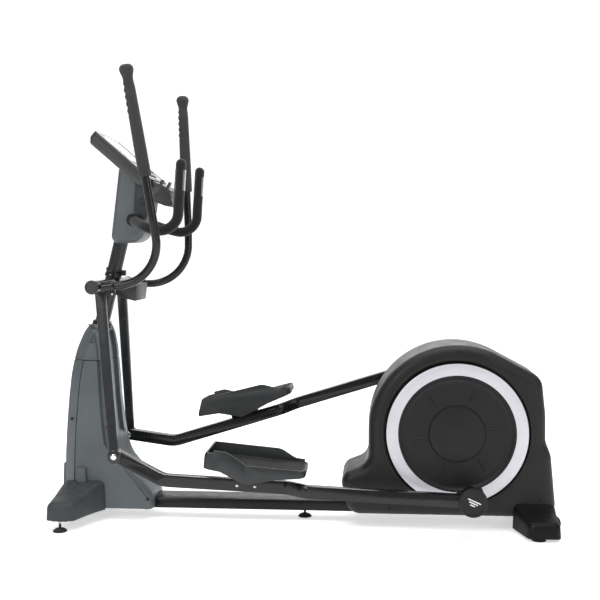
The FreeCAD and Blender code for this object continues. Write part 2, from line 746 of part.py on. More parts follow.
def sensor_seats(grow):
    """Half-shell contact plates on the front and back of one upright grip."""
    low, high = [bar_upright(z) for z in SENSOR_Z]
    axis = high.sub(low)
    axis.normalize()
    plates = []
    length = high.distanceToPoint(low) + 2 * grow
    shell = Part.makeCylinder(FOAM_RADIUS + 0.8, length, low - axis * grow, axis)
    shell = shell.cut(Part.makeCylinder(FOAM_RADIUS - 1.2 - grow, 90, low - axis * 5, axis))
    for direction in (-1, 1):
        half = box(0, 60, -14 - grow, 14 + grow, -10, 110)
        if direction < 0:
            half = box(-60, 0, -14 - grow, 14 + grow, -10, 110)
        half.translate(low + V(direction * 6, 0, 0))
        plates.append(shell.common(half))
    return plates


def pulse_sensors():
    return [mirrored(plate, side) for side in (-1, 1) for plate in sensor_seats(0)]


def console_place(shape):
    """From the console's own frame (x down the face, z out of it) to its place on the neck."""
    x, z = CONSOLE_TOP
    shape.rotate(V(0, 0, 0), V(0, 1, 0), CONSOLE_TILT)
    shape.translate(V(x, 0, z))
    return shape


def console_outline(x0, x1, half, z, corner):
    points = [V(x0, -half, z), V(x0, half, z), V(x1, half, z), V(x1, -half, z)]
    start = (points[-1] + points[0]) * 0.5
    return Part.Wire(rounded_edges([start] + points + [start], [corner] * 4))


def console_block(x0, x1, half, z0, z1, corner):
    outline = console_outline(x0, x1, half, z0, corner)
    return Part.Face(outline).extrude(V(0, 0, z1 - z0))


def console_slab(grow, extra=0):
    block = console_block(-grow, CONSOLE_LENGTH + grow, CONSOLE_HALF + grow,
                          -CONSOLE_THICK - grow, extra, 26)
    return console_place(block)


def console_back_shell():
    """Hollow back of the display, closed by the bezel."""
    outer = Part.makeLoft([
        console_outline(10, CONSOLE_LENGTH - 4, CONSOLE_HALF - 12, -CONSOLE_THICK, 20),
        console_outline(0, CONSOLE_LENGTH, CONSOLE_HALF, -CONSOLE_BEZEL - 16, 26)], True, True)
    outer = outer.fuse(console_block(0, CONSOLE_LENGTH, CONSOLE_HALF, -CONSOLE_BEZEL - 16,
                                     -CONSOLE_BEZEL, 26))
    inner = console_block(14, CONSOLE_LENGTH - 12, CONSOLE_HALF - 16, -CONSOLE_THICK + 3,
                          -CONSOLE_BEZEL + 1, 18)
    shell = outer.cut(inner).removeSplitter()
    return console_place(shell)


def console_bezel():
    """Face frame with recesses for the screen and the keypad overlay."""
    plate = console_block(0, CONSOLE_LENGTH, CONSOLE_HALF, -CONSOLE_BEZEL, 0, 26)
    top_edges = [edge for edge in plate.Edges
                 if all(abs(v.Z) < 1e-6 for v in edge.Vertexes)]
    plate = plate.makeFillet(4, top_edges)
    for x0, x1, half in (SCREEN, KEYPAD):
        plate = plate.cut(console_block(x0, x1, half, -RECESS, 5, 8))
    return console_place(plate)


def console_screen():
    """Display lens and keypad overlay, each let into its own recess."""
    pieces = []
    for x0, x1, half in (SCREEN, KEYPAD):
        gap = SEAT
        lens = console_block(x0 + gap, x1 - gap, half - gap, -RECESS, -1.0, 8 - gap)
        pieces.append(console_place(lens))
    return pieces


def console_lower_panel():
    """Control block under the display, over the rear of the neck."""
    x = PIVOT_X
    outline = rounded_outline([(x + 189, 1345), (x + 264, 1307), (x + 278, 1243), (x + 250, 1241),
                               (x + 157, 1276)], [3, 12, 8, 14, 3])
    block = prism_y(outline, -112, 112)
    block = block.cut(console_slab(SEAT, 2)).cut(neck_form(-SEAT))
    return largest(block.fuse(tablet_stops()).removeSplitter())


def tablet_stops():
    """Two pairs of short prongs moulded on the panel; they hold a tablet's lower edge."""
    prongs = []
    for y in (-70, 70):
        for start in (4.0, 34.0):
            prong = box(0, 9, y - 13, y + 13, 0, 22)
            prong.translate(V(start, 0, 0))
            prongs.append(prong)
    slope = math.degrees(math.atan2(36, 73))
    placed = []
    for prong in prongs:
        prong.rotate(V(0, 0, 0), V(0, 1, 0), slope)
        prong.translate(V(PIVOT_X + 214, 0, 1329))
        placed.append(prong)
    return placed


# ================================================================ rear housing


def housing_side(inset):
    """Side outline: a big arc round the crank, a low nose in front and a straight rear."""
    centre = V(CRANK_X, 0, CRANK_Z)
    radius = HOUSING_RADIUS - inset
    shoulder = rad(HOUSING_SHOULDER)
    left = centre + V(-radius, 0, 0)
    top = centre + V(0, 0, radius)
    outward = V(math.cos(shoulder), 0, math.sin(shoulder))
    end = centre + outward * radius
    crown = end + V(outward.z, 0, -outward.x) * HOUSING_SLOPE
    i = inset
    points = [end, crown] + side_points([
        (CRANK_X + 338 - i, 440), (CRANK_X + 339 - i, 340),
        (CRANK_X + 360 - i, 288), (CRANK_X + 383 - i, HOUSING_BOTTOM + i),
        (CRANK_X - 417 + i, HOUSING_BOTTOM + i), (CRANK_X - 447 + i, 202 - i),
        (left.x, 244)]) + [left]
    radii = [66 - i, 300, 80, 80, 52 - i, 60 - i, 50 - i, 60 + i]
    edges = [Part.Arc(left, top, end).toShape()] + rounded_edges(points, radii)
    return Part.Wire(edges)


def housing_form(inset):
    """Closed form of the housing with rounded rims on both sides."""
    half = HOUSING_HALF - inset
    body = prism_y(housing_side(inset), -half, half)
    rims = [edge for edge in body.Edges
            if edge.BoundBox.YLength < 0.01 and abs(abs(edge.BoundBox.YMin) - half) < 0.01]
    return body.makeFillet(HOUSING_RIM - inset, rims)


def well(radius, floor):
    """Round recess in both side faces that takes the crank discs."""
    cuts = [rod_y(CRANK_X, CRANK_Z, radius, side * floor, side * 200) for side in (-1, 1)]
    return cuts[0].fuse(cuts[1])


def rear_region():
    """The part of the housing that the separate rear cover takes."""
    seam_x = CRANK_X + 225
    outline = polygon(side_points([
        (seam_x, 0), (CRANK_X + 448, 0), (CRANK_X + 448, 640), (CRANK_X + 330, 594),
        (CRANK_X + 215, 545), (seam_x, 515)]))
    region = prism_y(outline, -200, 200)
    return region.cut(rod_y(CRANK_X, CRANK_Z, WELL_RADIUS + LIP_WIDTH + 1, -200, 200))


def housing_skin():
    outer = housing_form(0)
    for side in (-1, 1):
        lip = tube_y(CRANK_X, CRANK_Z, WELL_RADIUS + LIP_WIDTH, WELL_RADIUS,
                     side * (HOUSING_HALF - 2), side * (HOUSING_HALF + LIP_HEIGHT))
        outer = outer.fuse(lip)
    outer = outer.cut(well(WELL_RADIUS, WELL_FLOOR))
    inner = housing_form(HOUSING_WALL)
    inner = inner.cut(well(WELL_RADIUS + HOUSING_WALL, WELL_FLOOR - HOUSING_WALL))
    skin = outer.cut(inner)
    beam_half = BEAM_WIDTH / 2 + SEAT
    skin = skin.cut(box(0, REAR_X, -beam_half, beam_half, 0, BEAM_TOP + SEAT))
    skin = skin.cut(rod_y(CRANK_X, CRANK_Z, AXLE_HOLE_RADIUS, -200, 200))
    x0, y0, x1, y1 = cross_tube_spans()[1]
    return skin.cut(box(x0 - SEAT, x1 + SEAT, y0, y1, 0, REAR_TUBE_BOTTOM + CROSS_HEIGHT + SEAT))


def housing_shells(skin):
    """Left and right shells, and the rear cover that closes them behind."""
    region = rear_region()
    rear = skin.common(region)
    front = skin.cut(region)
    left = front.common(box(0, REAR_X + 10, -200, 0, 0, 800))
    right = front.common(box(0, REAR_X + 10, 0, 200, 0, 800))
    return largest(left), largest(right), largest(rear)


def rear_cross_tube():
    """Cross tube with a pair of ears and a bolt for each transport wheel."""
    tube = cross_tube(1, REAR_TUBE_BOTTOM)
    x1 = cross_tube_spans()[1][2]
    ear_y = WHEEL_WIDTH / 2 + 2
    for side in (-1, 1):
        for y in (WHEEL_Y - ear_y - EAR, WHEEL_Y + ear_y):
            ear = box(x1 - 1, WHEEL_X, y, y + EAR, WHEEL_Z - 9, WHEEL_Z + 9)
            ear = ear.fuse(rod_y(WHEEL_X, WHEEL_Z, 11, y, y + EAR))
            tube = tube.fuse(mirrored(ear, side))
        bolt = rod_y(WHEEL_X, WHEEL_Z, WHEEL_BOLT, WHEEL_Y - ear_y - EAR, WHEEL_Y + ear_y + EAR)
        tube = tube.fuse(mirrored(bolt, side))
    return tube.removeSplitter()


def transport_wheel(side):
    half = WHEEL_WIDTH / 2
    wheel = rod_y(WHEEL_X, WHEEL_Z, WHEEL_RADIUS, WHEEL_Y - half, WHEEL_Y + half)
    wheel = wheel.makeFillet(4, [edge for edge in wheel.Edges if edge.BoundBox.YLength < 0.01])
    for y in (WHEEL_Y - half, WHEEL_Y + half):
        groove_ring = tube_y(WHEEL_X, WHEEL_Z, 23, 12, y - 3, y + 3)
        wheel = wheel.cut(groove_ring)
    wheel = wheel.cut(rod_y(WHEEL_X, WHEEL_Z, WHEEL_BOLT + RUN_FIT, 0, 400))
    return mirrored(wheel, side)


def rear_foot_cover(side):
    """Moulded sleeve over half of the rear cross tube, open where the wheel sits."""
    near = HOUSING_HALF + SEAT
    far = FOOT_SPAN / 2
    outer = []
    inner = []
    for front, rear, top, y in ((176, 12, 106, near), (156, 14, 84, (near + far) / 2),
                                (136, 16, 68, far)):
        outer.append(foot_section(REAR_X - front, REAR_X - rear, REAR_COVER_BOTTOM, top, y, 26))
        y = min(max(y, near - 1), far - COVER_WALL) - (1 if y == near else 0)
        inner.append(foot_section(REAR_X - front + COVER_WALL, REAR_X - rear - COVER_WALL,
                                  REAR_COVER_BOTTOM - 5, top - COVER_WALL, y, 23))
    cover = Part.makeLoft(outer, True, False).cut(Part.makeLoft(inner, True, False))
    pocket = box(WHEEL_X - WHEEL_RADIUS - 1, REAR_X + 5, WHEEL_Y - 19, WHEEL_Y + 19, 0, 200)
    return mirrored(largest(cover.cut(pocket)), side)


# ================================================================ crank, discs, belt and brake


def crank_axle():
    axle = rod_y(CRANK_X, CRANK_Z, AXLE_RADIUS, -ARM_INNER_Y - ARM_THICK, ARM_INNER_Y + ARM_THICK)
    collar = rod_y(CRANK_X, CRANK_Z, AXLE_RADIUS + 6, PILLAR_INNER_Y - 12, PILLAR_INNER_Y - 4 - SIDE_GAP)
    return axle.fuse(collar).fuse(collar.mirror(V(0, 0, 0), V(0, 1, 0))).removeSplitter()


def crank_arm(side):
    """Forged arm behind the disc, with a long boss that reaches out to the rail."""
    pin_x, pin_z = crank_pin(side)
    inner = side * ARM_INNER_Y
    outer = side * (ARM_INNER_Y + ARM_THICK)
    length = CRANK_RADIUS
    taper = polygon(side_points([
        (CRANK_X - 27, CRANK_Z), (CRANK_X + 27, CRANK_Z),
        (CRANK_X + 21, CRANK_Z - length), (CRANK_X - 21, CRANK_Z - length)]))
    web = prism_y(taper, inner, outer)
    angle = CRANK_ANGLE if side < 0 else CRANK_ANGLE + 180
    web = turned(web, CRANK_X, CRANK_Z, angle)
    arm = web.fuse(rod_y(CRANK_X, CRANK_Z, 32, inner, outer))
    arm = arm.fuse(rod_y(pin_x, pin_z, BOSS_RADIUS, inner, side * (PIN_JOINT_Y - SIDE_GAP)))
    return arm.cut(rod_y(CRANK_X, CRANK_Z, AXLE_RADIUS + RUN_FIT, inner * 0.9, outer * 1.1)).removeSplitter()


def disc_profile(offset):
    """Half section of the dished disc cover: radius and distance from the middle plane."""
    face = DISC_FACE - offset
    rim = DISC_RADIUS - offset
    dish = face - DISH_DEPTH
    return [(rim, face), (RING_INNER, face), (RING_INNER - 6, face - 2),
            (RING_INNER - 40, dish), (0, dish)]


def crank_disc(side):
    """Dished cover over the arm; the boss passes through a round hole."""
    back = ARM_INNER_Y + 6
    outer = [(0, back)] + [(DISC_RADIUS, back)] + disc_profile(0)
    inner = [(0, back - 1)] + [(DISC_RADIUS - DISC_WALL, back - 1)] + disc_profile(DISC_WALL)
    shapes = []
    for outline in (outer, inner):
        points = [V(CRANK_X + r, side * y, CRANK_Z) for r, y in outline]
        face = Part.Face(polygon(points))
        shapes.append(face.revolve(V(CRANK_X, 0, CRANK_Z), V(0, 1, 0), 360))
    disc = shapes[0].cut(shapes[1])
    pin_x, pin_z = crank_pin(side)
    hole = rod_y(pin_x, pin_z, BOSS_RADIUS + 3, side * 100, side * 200)
    ribs = []
    dish = side * (DISC_FACE - DISH_DEPTH)
    for index in range(6):
        rib = box(CRANK_X + HUB_CAP_RADIUS + 14, CRANK_X + RING_INNER - 42, -1.6, 1.6,
                  CRANK_Z - 2, CRANK_Z + 2)
        rib.translate(V(0, dish, 0))
        ribs.append(turned(rib, CRANK_X, CRANK_Z, 60 * index + 14))
    arm_face = side * (ARM_INNER_Y + ARM_THICK + SEAT)
    seat = tube_y(CRANK_X, CRANK_Z, 30, AXLE_RADIUS + 4, arm_face, side * (DISC_FACE - DISH_DEPTH - 1))
    disc = disc.fuse(ribs).fuse(seat).cut(hole)
    bore = rod_y(CRANK_X, CRANK_Z, AXLE_RADIUS + SEAT, side * 100, side * (ARM_INNER_Y + ARM_THICK + 1))
    return largest(disc.cut(bore))


def trim_ring(side):
    """Flat bright band on the disc's rim, open where the crank boss comes through."""
    ring = tube_y(CRANK_X, CRANK_Z, DISC_RADIUS - 1, RING_INNER + 1,
                  side * DISC_FACE, side * (DISC_FACE + RING_THICK))
    half = DISC_RADIUS * math.tan(rad(RING_GAP))
    wedge = polygon(side_points([
        (CRANK_X, CRANK_Z), (CRANK_X - 1.2 * half, CRANK_Z - 1.2 * DISC_RADIUS),
        (CRANK_X + 1.2 * half, CRANK_Z - 1.2 * DISC_RADIUS)]))
    slot = prism_y(wedge, side * 100, side * 200)
    angle = CRANK_ANGLE if side < 0 else CRANK_ANGLE + 180
    return largest(ring.cut(turned(slot, CRANK_X, CRANK_Z, angle)))


def hub_cap(side):
    """Low domed cap in the middle of the disc."""
    base = DISC_FACE - DISH_DEPTH
    outline = [(0, base), (HUB_CAP_RADIUS, base), (HUB_CAP_RADIUS, base + 2),
               (HUB_CAP_RADIUS - 4, base + 4), (60, base + 5), (0, base + 5.5)]
    face = Part.Face(polygon([V(CRANK_X + r, side * y, CRANK_Z) for r, y in outline]))
    return face.revolve(V(CRANK_X, 0, CRANK_Z), V(0, 1, 0), 360)


def drive_pulley():
    """Large belt pulley with six lightening holes."""
    y0 = BELT_Y - BELT_WIDTH / 2 - 2
    y1 = BELT_Y + BELT_WIDTH / 2 + 2
    rim = tube_y(CRANK_X, CRANK_Z, PULLEY_RADIUS, PULLEY_RADIUS - 10, y0, y1)
    web = rod_y(CRANK_X, CRANK_Z, PULLEY_RADIUS - 8, BELT_Y - 4, BELT_Y + 4)
    hub = rod_y(CRANK_X, CRANK_Z, 34, y0, y1)
    pulley = rim.fuse(web).fuse(hub)
    for index in range(6):
        angle = rad(60 * index)
        x = CRANK_X + 88 * math.cos(angle)
        z = CRANK_Z + 88 * math.sin(angle)
        pulley = pulley.cut(rod_y(x, z, 32, y0 - 5, y1 + 5))
    return pulley.cut(rod_y(CRANK_X, CRANK_Z, AXLE_RADIUS + RUN_FIT, y0 - 5, y1 + 5)).removeSplitter()


def flywheel():
    """Iron disc with its shaft and small belt pulley."""
    rim = rod_y(FLYWHEEL_X, FLYWHEEL_Z, FLYWHEEL_RADIUS, FLY_Y0, FLY_Y1)
    for y0, y1 in ((FLY_Y0 - 1, FLY_Y0 + 8), (FLY_Y1 - 8, FLY_Y1 + 1)):
        rim = rim.cut(tube_y(FLYWHEEL_X, FLYWHEEL_Z, FLYWHEEL_RADIUS - 26, 30, y0, y1))
    reach = PILLAR_INNER_Y + PILLAR_PLATE + 4
    shaft = rod_y(FLYWHEEL_X, FLYWHEEL_Z, FLY_SHAFT, -reach, reach)
    small = rod_y(FLYWHEEL_X, FLYWHEEL_Z, SMALL_PULLEY_RADIUS, BELT_Y - 12, BELT_Y + 12)
    return rim.fuse(shaft).fuse(small).removeSplitter()


def belt_loop(grow):
    """Outer wire of the belt: two arcs and the two straight runs that touch them."""
    big = PULLEY_RADIUS + grow
    small = SMALL_PULLEY_RADIUS + grow
    dx = CRANK_X - FLYWHEEL_X
    dz = CRANK_Z - FLYWHEEL_Z
    span = math.hypot(dx, dz)
    base = math.atan2(dz, dx)
    open_angle = math.acos((big - small) / span)

    def at(x, z, radius, angle):
        return V(x + radius * math.cos(angle), 0, z + radius * math.sin(angle))

    up = base + math.pi - open_angle
    down = base + math.pi + open_angle
    big_up = at(CRANK_X, CRANK_Z, big, up)
    big_down = at(CRANK_X, CRANK_Z, big, down)
    small_up = at(FLYWHEEL_X, FLYWHEEL_Z, small, up)
    small_down = at(FLYWHEEL_X, FLYWHEEL_Z, small, down)
    return Part.Wire([
        Part.Arc(big_up, at(CRANK_X, CRANK_Z, big, base), big_down).toShape(),
        Part.makeLine(big_down, small_down),
        Part.Arc(small_down, at(FLYWHEEL_X, FLYWHEEL_Z, small, base + math.pi), small_up).toShape(),
        Part.makeLine(small_up, big_up)])


def drive_belt():
    y0 = BELT_Y - BELT_WIDTH / 2
    y1 = BELT_Y + BELT_WIDTH / 2
    return prism_y(belt_loop(SEAT + BELT_THICK), y0, y1).cut(prism_y(belt_loop(SEAT), y0 - 1, y1 + 1))


def brake_unit():
    """Eddy-current brake: a magnet yoke that straddles the flywheel's upper rim."""
    x = FLYWHEEL_X
    top = FLYWHEEL_Z + FLYWHEEL_RADIUS
    yoke = box(x - 34, x + 34, FLY_Y0 - 12, FLY_Y1 + 12, top - 34, top + 22)
    slot = rod_y(x, FLYWHEEL_Z, FLYWHEEL_RADIUS + 4, FLY_Y0 - 3, FLY_Y1 + 3)
    yoke = yoke.cut(slot)
    inner = -PILLAR_INNER_Y
    hanger = box(x - 14, x + 14, inner, FLY_Y0 - 10, top - 30, top - 8)
    post = box(x - 14, x + 14, inner, inner + 6, FLYWHEEL_Z + 30, top - 8)
    return yoke.fuse(hanger).fuse(post).removeSplitter()


# ================================================================ swing arms and handles


def swing_arm(side):
    """Hub tube on the pivot shaft, tapered lower arm and the boss for the rail bolt."""
    x = PIVOT_X
    z = PIVOT_Z
    foot = z - SWING_RADIUS
    sections = []
    for level, mid_y, half_x, half_y in (
            (z - 4, ARM_TOP_Y, 20, 13), (foot + 8, (BOSS_INNER_Y + BOSS_OUTER_Y) / 2, 18, 10)):
        y0 = mid_y - half_y
        y1 = mid_y + half_y
        corners = [V(x - half_x, y0, level), V(x - half_x, y1, level),
                   V(x + half_x, y1, level), V(x + half_x, y0, level)]
        start = (corners[-1] + corners[0]) * 0.5
        sections.append(Part.Wire(rounded_edges([start] + corners + [start], [6] * 4)))
    arm = Part.makeLoft(sections, True, True)
    arm = arm.cut(box(x - 60, x + 60, 100, BOSS_INNER_Y, foot - 20, foot + 40))
    arm = arm.fuse(rod_y(x, foot, 27, BOSS_INNER_Y, BOSS_OUTER_Y))
    arm = arm.fuse(rod_y(x, z, HUB_RADIUS, HUB_INNER_Y, HUB_OUTER_Y))
    socket = rod(V(x, HANDLE_ROOT_Y, z - 4), V(x + SOCKET_REACH, HANDLE_ROOT_Y, z - 4), HANDLE_RADIUS + 4)
    arm = arm.fuse(socket)
    bore = rod(V(x + HUB_RADIUS + 1, HANDLE_ROOT_Y, z - 4), V(x + 90, HANDLE_ROOT_Y, z - 4),
               HANDLE_RADIUS + RUN_FIT)
    arm = arm.cut(bore)
    arm = arm.cut(rod_y(x, z, SHAFT_RADIUS + BUSH_WALL + RUN_FIT, 0, 400))
    arm = arm.cut(rod_y(x, foot, RAIL_BOLT_RADIUS + RUN_FIT, 200, 300)).removeSplitter()
    pieces = [arm]
    for y0 in (HUB_INNER_Y, HUB_OUTER_Y - BUSH_LENGTH):
        pieces.append(tube_y(x, z, SHAFT_RADIUS + BUSH_WALL, SHAFT_RADIUS + RUN_FIT, y0, y0 + BUSH_LENGTH))
    return [swung(mirrored(piece, side), side) for piece in pieces]


def swung(shape, side):
    """From the hanging position to the rest position of this side's arm."""
    return turned(shape, PIVOT_X, PIVOT_Z, swing_angle(side))


def handle_points():
    """Centre line of the handle tube with the arm hanging straight."""
    x = PIVOT_X
    z = PIVOT_Z
    return [V(x + HUB_RADIUS + 2, HANDLE_ROOT_Y, z - 4), V(x + SOCKET_REACH + 20, HANDLE_ROOT_Y, z - 4),
            V(x + 268, 254, z - 8), V(x + 266, 286, z + 225),
            V(x + HANDLE_BACK, HANDLE_TOP_Y, z + HANDLE_TOP - 16)]


def handle_arm(side):
    tube = bent_tube(handle_points(), HANDLE_BENDS, HANDLE_RADIUS, HANDLE_WALL)
    return swung(mirrored(tube, side), side)


def grip_axis():
    low, high = handle_points()[-2:]
    axis = high.sub(low)
    axis.normalize()
    return low, high, axis


def hand_grip(side):
    """Moulded grip: a long sleeve with finger swells and a round knob at the top."""
    low, high, axis = grip_axis()
    start = low + axis * ((GRIP_START - (low.z - PIVOT_Z)) / axis.z)
    length = start.distanceToPoint(high)
    knob = GRIP_RADIUS + 3.5
    base = [(0, 0), (GRIP_RADIUS - 2, 0), (GRIP_RADIUS, 6)]
    swells = []
    first = length - 175
    for index in range(5):
        swells.append((GRIP_RADIUS - 1.6, first + 24 * index))
        swells.append((GRIP_RADIUS + 0.6, first + 24 * index + 12))
    top = [(GRIP_RADIUS - 1, length - 44), (knob, length - 18), (knob, length - 2),
           (knob - 6, length + 12), (knob - 16, length + 15.5), (0, length + 16)]
    profile = [V(r, 0, h) for r, h in base + swells + top]
    face = Part.Face(polygon(profile))
    body = face.revolve(V(0, 0, 0), V(0, 0, 1), 360)
    body.Placement = FreeCAD.Placement(start, FreeCAD.Rotation(V(0, 0, 1), axis))
    body = body.cut(bent_rod(handle_points(), HANDLE_BENDS, HANDLE_RADIUS + RUN_FIT))
    return swung(mirrored(largest(body), side), side)


def pivot_cap(side):
    """Round cap that closes the hub, a little larger than the hub tube."""
    y = HUB_OUTER_Y
    cap = rod_y(PIVOT_X, PIVOT_Z, HUB_RADIUS + 2, y, y + 9)
    rim = [edge for edge in cap.Edges
           if edge.BoundBox.YLength < 0.01 and abs(edge.BoundBox.YMin - y - 9) < 0.01]
    cap = cap.makeFillet(3, rim)
    cap = cap.cut(tube_y(PIVOT_X, PIVOT_Z, 20, 17, y + 8, y + 10))
    return swung(mirrored(cap, side), side)


def rail_bolt(side):
    """Bolt through the arm's boss and the rail's sleeve: domed head outside, nut inside."""
    x = PIVOT_X
    z = PIVOT_Z - SWING_RADIUS
    shank = rod_y(x, z, RAIL_BOLT_RADIUS, RAIL_INNER_Y - RAIL_WIDTH / 2 - 7, BOSS_OUTER_Y)
    head = rod_y(x, z, 12, BOSS_OUTER_Y, BOSS_OUTER_Y + 6)
    head = head.makeFillet(3.5, [edge for edge in head.Edges if edge.BoundBox.YMin > BOSS_OUTER_Y + 5])
    nut_y = RAIL_INNER_Y - RAIL_WIDTH / 2 - SIDE_GAP
    hexagon = polygon([V(x + 14 * math.cos(rad(60 * i)), 0, z + 14 * math.sin(rad(60 * i)))
                       for i in range(6)])
    nut = prism_y(hexagon, nut_y - 8, nut_y)
    return swung(mirrored(shank.fuse(head).fuse(nut).removeSplitter(), side), side)


# ================================================================ foot rails and pedals


def nose_bend():
    """The rail's bend in the rail's own frame: x towards the crank pin, z up."""
    drop = rad(RAIL_NOSE_DROP)
    return (RAIL_NOSE * math.cos(drop), -RAIL_NOSE * math.sin(drop))


def run_length():
    x, z = nose_bend()
    return math.hypot(RAIL_LENGTH - x, z)


def run_angle():
    x, z = nose_bend()
    return math.degrees(math.atan2(-z, RAIL_LENGTH - x))


def rail_run(inset):
    """Long run from the bend to the pin, seen from above, with its sideways S."""
    half = RAIL_WIDTH / 2 - inset
    end = run_length() - 20
    ys = RAIL_INNER_Y
    ye = RAIL_OUTER_Y
    s0 = S_BEND_START
    s1 = S_BEND_START + S_BEND_LENGTH
    x0 = NOSE_LAP - inset - 1.0
    outline = [V(x0, ys - half, 0), V(s0, ys - half, 0), V(s1, ye - half, 0), V(end, ye - half, 0),
               V(end, ye + half, 0), V(s1, ye + half, 0), V(s0, ys + half, 0), V(x0, ys + half, 0)]
    radii = [0, 60 + half, 60 - half, 0, 0, 60 + half, 60 - half, 0]
    start = (outline[-1] + outline[0]) * 0.5
    wire = Part.Wire(rounded_edges([start] + outline + [start], radii))
    height = RAIL_HEIGHT - 2 * inset
    face = Part.Face(wire)
    face.translate(V(0, 0, -height / 2))
    return face.extrude(V(0, 0, height))


def to_rail(shape):
    """From the long run's frame to the rail's own frame."""
    x, z = nose_bend()
    shape.rotate(V(0, 0, 0), V(0, -1, 0), run_angle())
    shape.translate(V(x, 0, z))
    return shape


def to_machine(shape, side):
    """From the right rail's own frame to its rest place on either side."""
    x, z = rail_joint(side)
    placed = mirrored(shape, side)
    placed = turned(placed, 0, 0, rail_angle(side))
    placed.translate(V(x, 0, z))
    return placed


def nose_tube(inset):
    """The rail from its joint round the bend and onto the long run."""
    half_y = RAIL_WIDTH / 2 - inset
    half_z = RAIL_HEIGHT / 2 - inset
    bend_x, bend_z = nose_bend()
    corner = V(bend_x, 0, bend_z)
    ahead = V(math.cos(rad(run_angle())), 0, math.sin(rad(run_angle())))
    first_up = V(-bend_z, 0, bend_x) * (1 / RAIL_NOSE)
    run_up = V(-ahead.z, 0, ahead.x)
    miter = first_up.add(run_up)
    miter = miter * (half_z / miter.dot(run_up))
    end = corner + ahead * NOSE_LAP
    points = [first_up * half_z, corner.add(miter), end + run_up * half_z,
              end - run_up * half_z, corner.sub(miter), first_up * -half_z]
    middle = (points[-1] + points[0]) * 0.5
    radii = [0, NOSE_BEND - half_z, 0, 0, NOSE_BEND + half_z, 0]
    outline = Part.Wire(rounded_edges([middle] + points + [middle], radii))
    return prism_y(outline, RAIL_INNER_Y - half_y, RAIL_INNER_Y + half_y)


def foot_rail(side):
    """Bent box tube with a sleeve in front, a pedal bracket and the bearing unit behind."""
    wall = 2.5
    outer_y = RAIL_INNER_Y + RAIL_WIDTH / 2
    inner_y = RAIL_INNER_Y - RAIL_WIDTH / 2
    rail = nose_tube(0).fuse(to_rail(rail_run(0)))
    hollow = nose_tube(wall).fuse(to_rail(rail_run(wall)))
    rail = rail.cut(hollow)
    rail = rail.fuse(rod_y(0, 0, RAIL_HEIGHT / 2 + 1.5, inner_y, outer_y + SIDE_GAP))
    rail = rail.fuse(to_rail(pedal_bracket()))
    cap_y = RAIL_OUTER_Y + RAIL_WIDTH / 2
    rail = rail.fuse(rod_y(RAIL_LENGTH, 0, BEARING_OUTER, RAIL_OUTER_Y - RAIL_WIDTH / 2 - 4, cap_y))
    rail = rail.fuse(rod_y(RAIL_LENGTH, 0, BOSS_RADIUS, PIN_JOINT_Y, cap_y - 5))
    drain = Part.makeCylinder(3, 20, V(60, RAIL_INNER_Y, -RAIL_HEIGHT / 2 - 15))
    drain = to_rail(drain)
    rail = rail.cut(drain)
    rail = rail.cut(rod_y(0, 0, RAIL_BOLT_RADIUS + RUN_FIT, 100, 400))
    return to_machine(largest(rail.removeSplitter()), side)


def to_pedal(shape):
    """From the pedal's frame (x to the rear, z = 0 at the inner wall's top) to the long run's."""
    shape.translate(V(-150, 0, PEDAL_DEPTH))
    shape.rotate(V(0, 0, 0), V(0, -1, 0), PEDAL_PITCH)
    shape.translate(V(PEDAL_STATION, 0, RAIL_HEIGHT / 2 + PEDAL_RISE))
    return shape


def pedal_bracket():
    """Welded block between the rail's top and the underside of the pedal's deck."""
    y0 = RAIL_INNER_Y - RAIL_WIDTH / 2 + 3
    post = box(92, 208, y0, y0 + RAIL_WIDTH - 6, -150, BRACKET_TOP)
    plate = box(74, 228, PEDAL_MID_Y - 42, PEDAL_MID_Y + 42, BRACKET_TOP - 5, BRACKET_TOP)
    bracket = to_pedal(post.fuse(plate))
    return bracket.cut(box(-200, 900, 0, 500, -200, RAIL_HEIGHT / 2 - 1))


def pedal_plan(inset):
    """Plan of the pedal with rounded corners; its front runs back towards the outer side."""
    half = PEDAL_WIDTH / 2 - inset
    y = PEDAL_MID_Y
    points = [V(-36 + inset, y - half, -200), V(PEDAL_LENGTH - inset, y - half, -200),
              V(PEDAL_LENGTH - inset, y + half, -200), V(-8 + inset, y + half, -200)]
    start = (points[-1] + points[0]) * 0.5
    radii = [16 - inset, 34 - inset, 34 - inset, 30 - inset]
    wire = Part.Wire(rounded_edges([start] + points + [start], radii))
    return Part.Face(wire).extrude(V(0, 0, 300))


